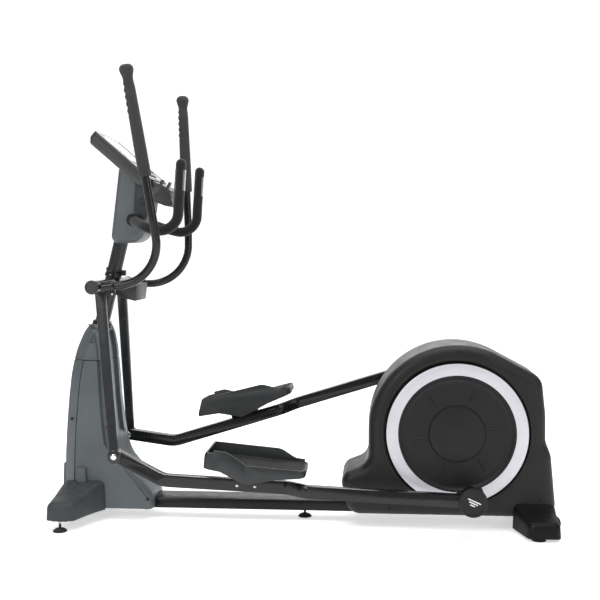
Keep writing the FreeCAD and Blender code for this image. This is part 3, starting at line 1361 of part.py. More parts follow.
def pedal_tray():
    """Tray with a tall inner wall, a low outer wall and a keel that straddles the rail."""
    y0 = PEDAL_MID_Y - PEDAL_WIDTH / 2
    y1 = PEDAL_MID_Y + PEDAL_WIDTH / 2
    side = rounded_outline([
        (0, 0), (262, 0), (320, -31), (PEDAL_LENGTH + 1, -31), (PEDAL_LENGTH + 1, -66),
        (264, -84), (161, -PEDAL_DEPTH), (140, -PEDAL_DEPTH), (55, -76), (-36, -68)],
        [8, 60, 60, 4, 10, 40, 6, 6, 30, 4])
    tray = prism_y(side, y0, y1).common(pedal_plan(0))
    low_wall = rounded_outline([
        (-60, -34), (-14, -21), (28, 3), (72, 0), (106, -17), (150, -43),
        (PEDAL_LENGTH + 20, -40), (PEDAL_LENGTH + 20, 60), (-60, 60)],
        [0, 20, 50, 50, 30, 30, 0, 0, 0])
    tray = tray.cut(prism_y(low_wall, y0 + PEDAL_WALL, y1 + 20).common(
        box(24, 500, 0, 500, -100, 100)))
    slope = polygon([V(-60, y0 + PEDAL_WALL, 0), V(-60, y1 + 10, -10), V(-60, y1 + 10, 60),
                     V(-60, y0 + PEDAL_WALL, 60)])
    tray = tray.cut(Part.Face(slope).extrude(V(84, 0, 0)))
    well_plan = pedal_plan(PEDAL_WALL)
    raked = polygon(side_points([(0, 60), (7, 0), (-26, DECK_TOP), (PEDAL_LENGTH, DECK_TOP),
                                 (PEDAL_LENGTH, 60)]))
    tray = tray.cut(prism_y(raked, y0, y1).common(well_plan))
    under = box(10, PEDAL_LENGTH - 40, y0 + PEDAL_WALL, y1 - PEDAL_WALL, -200, DECK_TOP - DECK_THICK)
    tray = tray.cut(under)
    return largest(tray.removeSplitter())


def pedal(side):
    return to_machine(to_rail(to_pedal(pedal_tray())), side)


def pedal_pad(side):
    """Ribbed tread let into the tray."""
    gap = PEDAL_WALL + SEAT
    plan = pedal_plan(gap)
    pad = plan.common(box(-20, PEDAL_LENGTH, 100, 400, DECK_TOP, DECK_TOP + PAD_THICK))
    step = 11.0
    first = PEDAL_MID_Y - 6.5 * step
    for index in range(14):
        y = first + index * step
        pad = pad.cut(box(2, PEDAL_LENGTH - 14, y - 2.5, y + 2.5, DECK_TOP + PAD_THICK - 2, 50))
    return to_machine(to_rail(to_pedal(pad)), side)


def crank_end_cap(side):
    """Round cap over the rail's bearing unit."""
    y = RAIL_OUTER_Y + RAIL_WIDTH / 2
    cap = rod_y(RAIL_LENGTH, 0, CAP_RADIUS, y, y + CAP_THICK)
    rim = [edge for edge in cap.Edges
           if edge.BoundBox.YLength < 0.01 and abs(edge.BoundBox.YMin - y - CAP_THICK) < 0.01]
    cap = cap.makeFillet(4, rim)
    cap = cap.cut(rod_y(RAIL_LENGTH, 0, CAP_RADIUS - 8, y + CAP_THICK - 1, y + CAP_THICK + 1))
    return to_machine(cap, side)


# ================================================================ the whole machine
def build():
    os.makedirs("parts", exist_ok=True)
    save("base_beam", base_beam())
    save("front_cross_tube", cross_tube(0, FRONT_TUBE_BOTTOM))
    save("rear_cross_tube", rear_cross_tube())
    save("levelling_feet", levelling_feet())
    save("front_upright", front_upright())
    save("axle_pillar", axle_pillar())
    save("mast", mast())
    save("mast_collar", mast_collar())
    save("pivot_shaft", pivot_shaft())
    save("accessory_holder", accessory_holder())

    skin = column_skin()
    left, right = column_shells(skin)
    save("column_shell_left", largest(left))
    save("column_shell_right", largest(right))
    save("column_top_cap", column_top_cap(skin))
    save("column_nose_cover", column_nose_cover())
    save("front_foot_covers", [front_foot_cover(side) for side in (-1, 1)])
    save("rear_foot_covers", [rear_foot_cover(side) for side in (-1, 1)])

    left, right = neck_shells()
    save("neck_shell_left", left)
    save("neck_shell_right", right)
    save("console_back_shell", console_back_shell())
    save("console_bezel", console_bezel())
    save("console_screen", console_screen())
    save("console_lower_panel", console_lower_panel())
    save("fixed_handlebar", fixed_handlebar())
    save("handlebar_foam", [handlebar_foam(side) for side in (-1, 1)])
    save("pulse_sensors", pulse_sensors())

    left, right, rear = housing_shells(housing_skin())
    save("housing_shell_left", left)
    save("housing_shell_right", right)
    save("rear_pillar_cover", rear)
    save("crank_bearings", crank_bearings())
    save("brake_unit", brake_unit())
    save("drive_belt", drive_belt())
    save("crank_axle", crank_axle())
    save("drive_pulley", drive_pulley())
    save("flywheel", flywheel())
    save("disc_trim_rings", [trim_ring(side) for side in (-1, 1)])
    save("disc_hub_caps", [hub_cap(side) for side in (-1, 1)])

    for side in (-1, 1):
        name = side_name(side)
        save("transport_wheel_" + name, transport_wheel(side))
        save("crank_arm_" + name, crank_arm(side))
        save("crank_disc_" + name, crank_disc(side))
        save("swing_arm_" + name, swing_arm(side))
        save("handle_arm_" + name, handle_arm(side))
        save("hand_grip_" + name, hand_grip(side))
        save("pivot_cap_" + name, pivot_cap(side))
        save("rail_bolt_" + name, rail_bolt(side))
        save("foot_rail_" + name, foot_rail(side))
        save("pedal_" + name, pedal(side))
        save("pedal_pad_" + name, pedal_pad(side))
        save("crank_end_cap_" + name, crank_end_cap(side))


build()
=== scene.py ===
import json
import math

import bmesh
import bpy
import numpy as np
from mathutils import Matrix, Vector
from mathutils.bvhtree import BVHTree


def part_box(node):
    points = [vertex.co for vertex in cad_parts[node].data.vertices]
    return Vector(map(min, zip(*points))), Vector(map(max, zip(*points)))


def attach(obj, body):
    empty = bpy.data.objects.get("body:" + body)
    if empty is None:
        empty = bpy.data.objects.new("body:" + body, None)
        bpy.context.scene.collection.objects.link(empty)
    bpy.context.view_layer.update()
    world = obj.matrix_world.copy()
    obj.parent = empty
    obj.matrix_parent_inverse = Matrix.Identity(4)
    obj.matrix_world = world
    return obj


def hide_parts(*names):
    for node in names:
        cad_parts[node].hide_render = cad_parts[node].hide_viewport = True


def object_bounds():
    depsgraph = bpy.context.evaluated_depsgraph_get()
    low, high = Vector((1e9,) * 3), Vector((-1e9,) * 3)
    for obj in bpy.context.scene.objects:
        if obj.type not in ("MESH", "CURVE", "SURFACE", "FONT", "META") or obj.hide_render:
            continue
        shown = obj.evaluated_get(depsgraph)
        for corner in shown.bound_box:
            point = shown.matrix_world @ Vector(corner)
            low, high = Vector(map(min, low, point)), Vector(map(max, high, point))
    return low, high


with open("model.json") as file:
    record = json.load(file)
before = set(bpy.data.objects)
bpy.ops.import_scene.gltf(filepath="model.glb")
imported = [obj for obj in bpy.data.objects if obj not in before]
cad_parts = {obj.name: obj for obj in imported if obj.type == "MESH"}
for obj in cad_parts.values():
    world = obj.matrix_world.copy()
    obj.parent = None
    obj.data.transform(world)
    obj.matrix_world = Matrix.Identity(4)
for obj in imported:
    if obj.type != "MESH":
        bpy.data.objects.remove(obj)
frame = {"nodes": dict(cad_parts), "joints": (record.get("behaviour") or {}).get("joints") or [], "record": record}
CAD_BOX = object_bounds()
RECORD = frame["record"]
SLOT_OF = {part["node"]: part["material_slot"] for part in RECORD["subparts"]}

bl_info = {
    "name": "Elliptical trainer finish",
    "version": (1, 0, 0),
    "blender": (4, 5, 0),
    "location": "3D View > Sidebar > Trainer",
    "description": "Finish pieces and materials for the rear-drive elliptical trainer",
    "category": "Object",
}

SIDES = (("left", -1), ("right", 1))


# ---------------------------------------------------------------- mesh helpers
def new_object(name, mesh):
    piece = bpy.data.objects.new(name, mesh)
    bpy.context.scene.collection.objects.link(piece)
    return piece


def shaded(mesh, angle=35.0):
    """Smooth shading that breaks where two faces meet at more than the angle."""
    mesh.polygons.foreach_set("use_smooth", [True] * len(mesh.polygons))
    mesh.set_sharp_from_angle(angle=math.radians(angle))


def mesh_piece(name, points, faces, angle=35.0):
    mesh = bpy.data.meshes.new(name)
    mesh.from_pydata([tuple(p) for p in points], [], faces)
    tidy = bmesh.new()
    tidy.from_mesh(mesh)
    bmesh.ops.remove_doubles(tidy, verts=tidy.verts, dist=1e-6)
    bmesh.ops.recalc_face_normals(tidy, faces=tidy.faces)
    tidy.to_mesh(mesh)
    tidy.free()
    mesh.validate()
    shaded(mesh, angle)
    return new_object(name, mesh)


def skin(name, rings, caps=True, closed_loop=False, angle=35.0):
    """Faces between rings of equal count; each ring is a closed loop of points."""
    count = len(rings[0])
    points = [p for ring in rings for p in ring]
    faces = []
    spans = len(rings) if closed_loop else len(rings) - 1
    for r in range(spans):
        a = r * count
        b = ((r + 1) % len(rings)) * count
        for i in range(count):
            j = (i + 1) % count
            faces.append((a + i, a + j, b + j, b + i))
    if caps and not closed_loop:
        faces.append(tuple(reversed(range(count))))
        last = (len(rings) - 1) * count
        faces.append(tuple(range(last, last + count)))
    return mesh_piece(name, points, faces, angle)


def turned(name, centre, axis, profile, segments=96, angle=30.0):
    """A lathe piece: profile is (radius, distance along the axis) from one end to the other."""
    axis = Vector(axis).normalized()
    across = axis.orthogonal().normalized()
    along = axis.cross(across)
    rings = []
    for radius, reach in profile:
        middle = Vector(centre) + axis * reach
        size = max(radius, 1e-7)
        rings.append([middle + across * (size * math.cos(t)) + along * (size * math.sin(t))
                      for t in np.linspace(0, math.tau, segments, endpoint=False)])
    return skin(name, rings, angle=angle)


def rounded_path(points, radii, step=0.004):
    """Points along straight runs joined by tangent arcs, close enough together to look round."""
    points = [Vector(p) for p in points]
    path = [points[0]]
    for last, here, after, radius in zip(points, points[1:], points[2:], radii):
        back = (last - here).normalized()
        ahead = (after - here).normalized()
        turn = math.pi - back.angle(ahead)
        if radius <= 0 or turn < 1e-4:
            path.append(here)
            continue
        reach = radius * math.tan(turn / 2)
        centre = here + (back + ahead).normalized() * (radius / math.cos(turn / 2))
        start = here + back * reach - centre
        end = here + ahead * reach - centre
        pieces = max(3, int(radius * turn / step))
        for k in range(pieces + 1):
            share = k / pieces
            path.append(centre + (start * math.sin((1 - share) * turn)
                                  + end * math.sin(share * turn)) / math.sin(turn))
    path.append(points[-1])
    return path


def even_path(path, step):
    """The same line with points spaced evenly along it."""
    lengths = [0.0]
    for a, b in zip(path, path[1:]):
        lengths.append(lengths[-1] + (b - a).length)
    count = max(2, int(lengths[-1] / step) + 1)
    wanted = np.linspace(0, lengths[-1], count)
    columns = [np.interp(wanted, lengths, [p[k] for p in path]) for k in range(3)]
    return [Vector(p) for p in zip(*columns)], wanted


def sweep(name, path, radius_at, segments=40, dome=True, angle=40.0):
    """A round or shaped bar along a line. radius_at(distance, turn) gives its radius."""
    path, reach = even_path(path, 0.003)
    rings = []
    side = None
    for k, here in enumerate(path):
        ahead = path[min(k + 1, len(path) - 1)] - path[max(k - 1, 0)]
        ahead.normalize()
        if side is None:
            side = ahead.orthogonal().normalized()
            if abs(ahead.y) < 0.9:
                side = (Vector((0, 1, 0)) - ahead * ahead.y).normalized()
        else:
            side = (side - ahead * side.dot(ahead)).normalized()
        up = ahead.cross(side)
        ring = []
        for t in np.linspace(0, math.tau, segments, endpoint=False):
            size = radius_at(reach[k], t)
            ring.append(here + side * (size * math.cos(t)) + up * (size * math.sin(t)))
        rings.append(ring)
    if dome:
        rings = dome_rings(rings[0], path[0], path[0] - path[1], True) + rings
        rings += dome_rings(rings[-1], path[-1], path[-1] - path[-2], False)
    return skin(name, rings, angle=angle)


def dome_rings(ring, middle, outward, first, rise=0.35, count=5):
    """Shrinking rings that round off one end of a bar."""
    outward = outward.normalized()
    radius = (ring[0] - middle).length
    domes = []
    for k in range(1, count + 1):
        turn = math.pi / 2 * k / count
        share = max(math.cos(turn), 0.02)
        shift = outward * (radius * rise * math.sin(turn))
        domes.append([middle + (p - middle) * share + shift for p in ring])
    return list(reversed(domes)) if first else domes


def bevelled(piece, width, segments=3, angle=35.0):
    """Rounds every edge sharper than the angle."""
    bevel = piece.modifiers.new("Edge rounding", "BEVEL")
    bevel.width = width
    bevel.segments = segments
    bevel.limit_method = "ANGLE"
    bevel.angle_limit = math.radians(angle)
    bevel.harden_normals = True
    return piece


def applied(piece):
    """The mesh with its modifiers, in place of the modifiers."""
    bpy.context.view_layer.update()
    graph = bpy.context.evaluated_depsgraph_get()
    mesh = bpy.data.meshes.new_from_object(piece.evaluated_get(graph))
    piece.modifiers.clear()
    piece.data = mesh
    return piece


def extruded(name, outline, y0, y1, angle=35.0):
    """An X-Z outline pushed from y0 to y1."""
    count = len(outline)
    points = [Vector((x, y, z)) for y in (y0, y1) for x, z in outline]
    faces = [tuple(reversed(range(count))), tuple(range(count, 2 * count))]
    for i in range(count):
        j = (i + 1) % count
        faces.append((i, j, count + j, count + i))
    return mesh_piece(name, points, faces, angle)


def joined(name, pieces):
    """Several pieces as one object with one mesh."""
    whole = bmesh.new()
    for piece in pieces:
        mesh = piece.data.copy()
        mesh.transform(piece.matrix_world)
        whole.from_mesh(mesh)
        bpy.data.meshes.remove(mesh)
    mesh = bpy.data.meshes.new(name)
    whole.to_mesh(mesh)
    whole.free()
    for piece in pieces:
        old = piece.data
        bpy.data.objects.remove(piece)
        if old.users == 0:
            bpy.data.meshes.remove(old)
    shaded(mesh)
    return new_object(name, mesh)


def placed(piece, finish, body, replaces=()):
    """Gives a piece its material, its body and what it stands for."""
    piece.data.materials.clear()
    piece.data.materials.append(finish)
    if replaces:
        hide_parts(*replaces)
    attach(piece, body)
    return piece


# ---------------------------------------------------------------- finishes
def link_nodes(tree, *pairs):
    for output, socket in pairs:
        tree.links.new(output, socket)


def add_node(tree, kind, **values):
    node = tree.nodes.new(kind)
    for key, value in values.items():
        if key in node.inputs:
            node.inputs[key].default_value = value
        else:
            setattr(node, key, value)
    return node


def new_finish(name, roughness, metallic=0.0, specular=0.5, coat=0.0, coat_roughness=0.1,
               sheen=0.0):
    """An empty finish: its shader, and places measured on the piece itself."""
    material = bpy.data.materials.new(name)
    material.use_nodes = True
    tree = material.node_tree
    shader = tree.nodes["Principled BSDF"]
    shader.inputs["Roughness"].default_value = roughness
    shader.inputs["Metallic"].default_value = metallic
    shader.inputs["Specular IOR Level"].default_value = specular
    shader.inputs["Coat Weight"].default_value = coat
    shader.inputs["Coat Roughness"].default_value = coat_roughness
    shader.inputs["Sheen Weight"].default_value = sheen
    place = add_node(tree, "ShaderNodeTexCoord").outputs["Object"]
    return material, tree, shader, place


def stretched(tree, place, scale):
    mapping = add_node(tree, "ShaderNodeMapping")
    mapping.inputs["Scale"].default_value = scale
    tree.links.new(place, mapping.inputs["Vector"])
    return mapping.outputs["Vector"]


def cloud(tree, place, scale, detail=3.0):
    texture = add_node(tree, "ShaderNodeTexNoise", Scale=scale, Detail=detail)
    tree.links.new(place, texture.inputs["Vector"])
    return texture.outputs["Fac"]


def ranged(tree, value, low, high, start=0.3, end=0.7):
    spread = add_node(tree, "ShaderNodeMapRange")
    spread.inputs["From Min"].default_value = start
    spread.inputs["From Max"].default_value = end
    spread.inputs["To Min"].default_value = low
    spread.inputs["To Max"].default_value = high
    tree.links.new(value, spread.inputs["Value"])
    return spread.outputs["Result"]


def mixed(tree, share, first, second):
    """Blend of two colours; each is a colour or the output of another node."""
    mix = add_node(tree, "ShaderNodeMix", data_type="RGBA")
    tree.links.new(share, mix.inputs["Factor"])
    for socket, colour in ((mix.inputs[6], first), (mix.inputs[7], second)):
        if isinstance(colour, bpy.types.NodeSocket):
            tree.links.new(colour, socket)
        else:
            socket.default_value = (*colour, 1.0)
    return mix.outputs[2]


def product(tree, a, b):
    times = add_node(tree, "ShaderNodeMath", operation="MULTIPLY")
    for value, socket in ((a, times.inputs[0]), (b, times.inputs[1])):
        if isinstance(value, bpy.types.NodeSocket):
            tree.links.new(value, socket)
        else:
            socket.default_value = value
    return times.outputs[0]


def bumped(tree, height, depth, strength=1.0, under=None):
    bump = add_node(tree, "ShaderNodeBump", Strength=strength, Distance=depth)
    tree.links.new(height, bump.inputs["Height"])
    if under is not None:
        tree.links.new(under, bump.inputs["Normal"])
    return bump.outputs["Normal"]


def scaled(colour, share):
    return tuple(min(1.0, c * share) for c in colour)


def upward(tree, sharpness=(0.55, 1.0)):
    """How much the surface faces up, where a little dust settles."""
    geometry = add_node(tree, "ShaderNodeNewGeometry")
    parts = add_node(tree, "ShaderNodeSeparateXYZ")
    tree.links.new(geometry.outputs["Normal"], parts.inputs["Vector"])
    return ranged(tree, parts.outputs["Z"], 0.0, 1.0, *sharpness)


def moulded(name, colour, roughness=0.42, grain=1100.0, depth=0.00005, mottle=0.16, dust=0.35,
            specular=0.5):
    """Satin moulded plastic: fine pebble grain, faint flow mottling and settled dust."""
    material, tree, shader, place = new_finish(name, roughness, specular=specular)
    flow = cloud(tree, place, 5.0, 5.0)
    tint = mixed(tree, ranged(tree, flow, 0.0, 1.0), scaled(colour, 1 - mottle),
                 scaled(colour, 1 + mottle))
    speck = cloud(tree, place, 900.0, 1.0)
    tint = mixed(tree, ranged(tree, speck, 0.0, 0.45, 0.45, 0.75), tint, scaled(colour, 1.5))
    fleck = cloud(tree, place, 60.0, 6.0)
    settled = product(tree, upward(tree), ranged(tree, fleck, 0.0, dust, 0.4, 0.8))
    tint = mixed(tree, settled, tint, (0.22, 0.22, 0.21))
    shine = cloud(tree, place, 18.0, 6.0)
    rough = ranged(tree, shine, roughness - 0.06, roughness + 0.08)
    pebble = add_node(tree, "ShaderNodeTexVoronoi", Scale=grain)
    tree.links.new(place, pebble.inputs["Vector"])
    wave = cloud(tree, place, 14.0, 2.0)
    normal = bumped(tree, wave, 0.0007, 0.35)
    normal = bumped(tree, pebble.outputs["Distance"], depth, 0.8, normal)
    link_nodes(tree, (tint, shader.inputs["Base Color"]), (rough, shader.inputs["Roughness"]),
               (normal, shader.inputs["Normal"]))
    return material


def powder_coat(name, colour, roughness=0.24, specular=0.30, coat=0.18):
    """Gloss black powder coat on steel: orange peel, clear top coat, a few dust flecks."""
    material, tree, shader, place = new_finish(name, roughness, specular=specular, coat=coat,
                                               coat_roughness=0.15)
    shade = cloud(tree, place, 8.0, 4.0)
    tint = mixed(tree, ranged(tree, shade, 0.0, 1.0), scaled(colour, 0.8), scaled(colour, 1.3))
    fleck = cloud(tree, place, 140.0, 4.0)
    settled = product(tree, upward(tree), ranged(tree, fleck, 0.0, 0.16, 0.5, 0.85))
    tint = mixed(tree, settled, tint, (0.12, 0.12, 0.115))
    peel = cloud(tree, place, 420.0, 2.0)
    wave = cloud(tree, place, 60.0, 2.0)
    normal = bumped(tree, wave, 0.00006, 0.2)
    normal = bumped(tree, peel, 0.00002, 0.4, normal)
    rough = ranged(tree, cloud(tree, place, 25.0, 5.0), roughness - 0.06, roughness + 0.08)
    link_nodes(tree, (tint, shader.inputs["Base Color"]), (rough, shader.inputs["Roughness"]),
               (normal, shader.inputs["Normal"]))
    return material


def bright_metal(name, colour, roughness, brush=(900.0, 900.0, 40.0), depth=0.00002):
    """Ground or polished steel with fine scratches along one direction."""
    material, tree, shader, place = new_finish(name, roughness, metallic=1.0)
    lines = cloud(tree, stretched(tree, place, brush), 1.0, 4.0)
    tarnish = cloud(tree, place, 30.0, 5.0)
    tint = mixed(tree, ranged(tree, tarnish, 0.0, 1.0), scaled(colour, 0.82), colour)
    rough = ranged(tree, lines, roughness * 0.7, roughness * 1.4)
    link_nodes(tree, (tint, shader.inputs["Base Color"]), (rough, shader.inputs["Roughness"]),
               (bumped(tree, lines, depth, 0.6), shader.inputs["Normal"]))
    return material


def silver_paint(name, colour, roughness=0.38):
    """Satin silver paint with metal flake."""
    material, tree, shader, place = new_finish(name, roughness, metallic=0.25, coat=0.25,
                                               coat_roughness=0.25)
    flake = add_node(tree, "ShaderNodeTexVoronoi", Scale=2600.0)
    tree.links.new(place, flake.inputs["Vector"])
    parts = add_node(tree, "ShaderNodeSeparateColor")
    tree.links.new(flake.outputs["Color"], parts.inputs["Color"])
    tint = mixed(tree, parts.outputs["Red"], scaled(colour, 0.88), scaled(colour, 1.1))
    soil = cloud(tree, place, 9.0, 6.0)
    tint = mixed(tree, ranged(tree, soil, 0.0, 0.25, 0.45, 0.8), tint, scaled(colour, 0.6))
    rough = ranged(tree, cloud(tree, place, 40.0, 4.0), roughness - 0.08, roughness + 0.1)
    link_nodes(tree, (tint, shader.inputs["Base Color"]), (rough, shader.inputs["Roughness"]),
               (bumped(tree, flake.outputs["Distance"], 0.00002, 0.5), shader.inputs["Normal"]))
    return material


def rubber(name, colour, roughness=0.72, grain=1500.0, depth=0.00012, sheen=0.12, dust=0.3):
    """Matte rubber with a stippled skin and a worn, dusty bloom."""
    material, tree, shader, place = new_finish(name, roughness, specular=0.35, sheen=sheen)
    bloom = cloud(tree, place, 12.0, 6.0)
    tint = mixed(tree, ranged(tree, bloom, 0.0, 1.0), scaled(colour, 0.8), scaled(colour, 1.35))
    fleck = cloud(tree, place, 260.0, 3.0)
    settled = product(tree, upward(tree), ranged(tree, fleck, 0.0, dust, 0.45, 0.8))
    tint = mixed(tree, settled, tint, (0.16, 0.16, 0.155))
    stipple = add_node(tree, "ShaderNodeTexVoronoi", Scale=grain)
    tree.links.new(place, stipple.inputs["Vector"])
    normal = bumped(tree, cloud(tree, place, 180.0, 4.0), 0.0002, 0.5)
    normal = bumped(tree, stipple.outputs["Distance"], depth, 0.9, normal)
    rough = ranged(tree, bloom, roughness - 0.08, roughness + 0.08)
    link_nodes(tree, (tint, shader.inputs["Base Color"]), (rough, shader.inputs["Roughness"]),
               (normal, shader.inputs["Normal"]))
    return material


def foam_skin(name, colour):
    """Closed-cell foam: soft, matte, with open pores of mixed size."""
    material, tree, shader, place = new_finish(name, 0.9, specular=0.25, sheen=0.25)
    cells = add_node(tree, "ShaderNodeTexVoronoi", Scale=700.0)
    pores = add_node(tree, "ShaderNodeTexVoronoi", Scale=1900.0)
    link_nodes(tree, (place, cells.inputs["Vector"]), (place, pores.inputs["Vector"]))
    tint = mixed(tree, ranged(tree, cells.outputs["Distance"], 0.0, 1.0, 0.1, 0.6),
                 scaled(colour, 1.5), scaled(colour, 0.7))
    normal = bumped(tree, cells.outputs["Distance"], 0.0003, 0.6)
    normal = bumped(tree, pores.outputs["Distance"], 0.00012, 0.8, normal)
    rough = ranged(tree, cloud(tree, place, 20.0, 5.0), 0.82, 0.97)
    link_nodes(tree, (tint, shader.inputs["Base Color"]), (rough, shader.inputs["Roughness"]),
               (normal, shader.inputs["Normal"]))
    return material


def lens_glass(name, colour):
    """Dark glossy display cover with finger marks."""
    material, tree, shader, place = new_finish(name, 0.12, specular=0.6, coat=0.8,
                                               coat_roughness=0.04)
    smear = cloud(tree, place, 14.0, 7.0)
    rough = ranged(tree, smear, 0.08, 0.30, 0.4, 0.75)
    tint = mixed(tree, ranged(tree, smear, 0.0, 1.0), scaled(colour, 0.7), scaled(colour, 1.6))
    link_nodes(tree, (tint, shader.inputs["Base Color"]), (rough, shader.inputs["Roughness"]))
    return material


class TrainerSizes(bpy.types.PropertyGroup):
    handle_radius: bpy.props.FloatProperty(
        name="Handle tube", description="Radius of the moving handles' bent tubes",
        subtype="DISTANCE", unit="LENGTH", min=0.012, max=0.018, default=0.016)
    grip_radius: bpy.props.FloatProperty(
        name="Hand grip", description="Radius of the rubber grips at their lower end",
        subtype="DISTANCE", unit="LENGTH", min=0.018, max=0.025, default=0.0235)
    foam_radius: bpy.props.FloatProperty(
        name="Bar foam", description="Radius of the foam sleeves on the fixed handlebar",
        subtype="DISTANCE", unit="LENGTH", min=0.017, max=0.022, default=0.020)
    edge_rounding: bpy.props.FloatProperty(
        name="Edge rounding", description="Share of each frame piece's normal edge radius",
        subtype="FACTOR", min=0.2, max=1.5, default=1.0)


class TrainerColours(bpy.types.PropertyGroup):
    column: bpy.props.FloatVectorProperty(
        name="Column", description="Slate grey of the column, neck and front foot covers",
        subtype="COLOR", size=3, min=0, max=1, default=(0.072, 0.084, 0.090))
    housing: bpy.props.FloatVectorProperty(
        name="Housing", description="Warm charcoal of the rear housing and rear foot covers",
        subtype="COLOR", size=3, min=0, max=1, default=(0.013, 0.0125, 0.012))
    disc: bpy.props.FloatVectorProperty(
        name="Crank disc", description="Near black of the two crank discs and hub caps",
        subtype="COLOR", size=3, min=0, max=1, default=(0.0060, 0.0064, 0.0072))
    ring: bpy.props.FloatVectorProperty(
        name="Trim ring", description="Silver of the ring round each crank disc",
        subtype="COLOR", size=3, min=0, max=1, default=(0.60, 0.60, 0.64))
    frame: bpy.props.FloatVectorProperty(
        name="Frame paint", description="Black powder coat of every steel tube",
        subtype="COLOR", size=3, min=0, max=1, default=(0.0075, 0.0078, 0.0085))
    pedal: bpy.props.FloatVectorProperty(
        name="Pedals", description="Slate grey of the pedal shells",
        subtype="COLOR", size=3, min=0, max=1, default=(0.0105, 0.0128, 0.0140))
    console: bpy.props.FloatVectorProperty(
        name="Console", description="Dark grey of the console and its control panel",
        subtype="COLOR", size=3, min=0, max=1, default=(0.024, 0.025, 0.026))
    rubber: bpy.props.FloatVectorProperty(
        name="Rubber", description="Black of the grips, treads and wheels",
        subtype="COLOR", size=3, min=0, max=1, default=(0.010, 0.010, 0.011))
    floor: bpy.props.FloatVectorProperty(
        name="Floor", description="Pale studio floor and background",
        subtype="COLOR", size=3, min=0, max=1, default=(0.93, 0.93, 0.93))


FINISHES = {}


def make_finishes(colours):
    """Every finish by its name, made again only when a colour has changed."""
    chosen = tuple(tuple(getattr(colours, name)) for name in colours.__annotations__)
    if FINISHES.get("colours") != chosen:
        FINISHES.update(new_finishes(colours), colours=chosen)
    return FINISHES


def new_finishes(colours):
    """One finish for each material slot, and a few for single pieces of a slot."""
    steel = (0.62, 0.62, 0.63)
    return {
        "column_plastic": moulded("Slate moulding", colours.column, 0.40),
        # front foot covers: the column colour at half strength, painted shade standing in for the dimmer light on
        # the covers
        "foot_shaded_plastic": moulded("Foot moulding", scaled(colours.column, 0.50), 0.46,
                                specular=0.25, dust=0.2),
        "rear_foot_plastic": moulded("Rear foot moulding", scaled(colours.housing, 0.4), 0.5,
                                     specular=0.14, dust=0.0),
        "beam_steel": powder_coat("Beam coat", colours.frame, 0.38, 0.22, 0.08),
        # swing arms and mast: the black frame paint three times lighter, a painted highlight standing in for the
        # light streaks along these tubes
        "arm_steel": powder_coat("Arm coat", scaled(colours.frame, 3.0)),
        "grip_sleeve": rubber("Grip sleeve", scaled(colours.rubber, 2.4)),
        "holder_plastic": moulded("Holder moulding", scaled(colours.console, 0.5), 0.44),
        "housing_plastic": moulded("Charcoal moulding", colours.housing, 0.42, mottle=0.12,
                                   specular=0.24, dust=0.12),
        "disc_plastic": moulded("Disc moulding", colours.disc, 0.46, dust=0.1, specular=0.30),
        "frame_steel": powder_coat("Black powder coat", colours.frame),
        "bright_steel": bright_metal("Ground steel", steel, 0.30),
        "chrome": bright_metal("Polished chrome", (0.80, 0.80, 0.81), 0.10, depth=0.000005),
        "trim_silver": silver_paint("Silver trim paint", colours.ring),
        "grip_rubber": rubber("Grip rubber", colours.rubber),
        "foam": foam_skin("Bar foam", colours.rubber),
        "pad_rubber": rubber("Tread rubber", scaled(colours.rubber, 0.4), 0.80, 900.0, 0.0002),
        "cast_iron": bright_metal("Cast iron", (0.16, 0.155, 0.15), 0.55, (60, 60, 60), 0.0002),
        "belt_rubber": rubber("Belt rubber", colours.rubber, 0.6),
        "console_plastic": moulded("Console moulding", colours.console, 0.46, 1500.0),
        "screen": lens_glass("Display lens", (0.012, 0.014, 0.018)),
        "pedal_plastic": moulded("Pedal moulding", colours.pedal, 0.44),
    }


# ---------------------------------------------------------------- crank discs, rings and caps
def centre_of(node):
    low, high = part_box(node)
    return (low + high) / 2


def outward_axis(side):
    return Vector((0.0, float(side), 0.0))


def pin_angle(side):
    """Direction of the crank pin round the axle, from +X towards +Z."""
    name = "left" if side < 0 else "right"
    pin = centre_of("crank_end_cap_" + name) - centre_of("crank_axle")
    return math.atan2(pin.z, pin.x)


def smooth_step(value, low, high):
    share = min(max((value - low) / (high - low), 0.0), 1.0)
    return share * share * (3 - 2 * share)


def rib_angles(first, count=6, spread=0.052):
    """Round-the-disc stations, closer together where a rib stands."""
    turns = list(np.linspace(0, math.tau, 180, endpoint=False))
    for k in range(count):
        middle = first + math.tau * k / count
        turns = [t for t in turns
                 if abs((t - middle + math.pi) % math.tau - math.pi) > spread]
        turns += [(middle + s) % math.tau for s in np.linspace(-spread, spread, 17)]
    return sorted(turns)


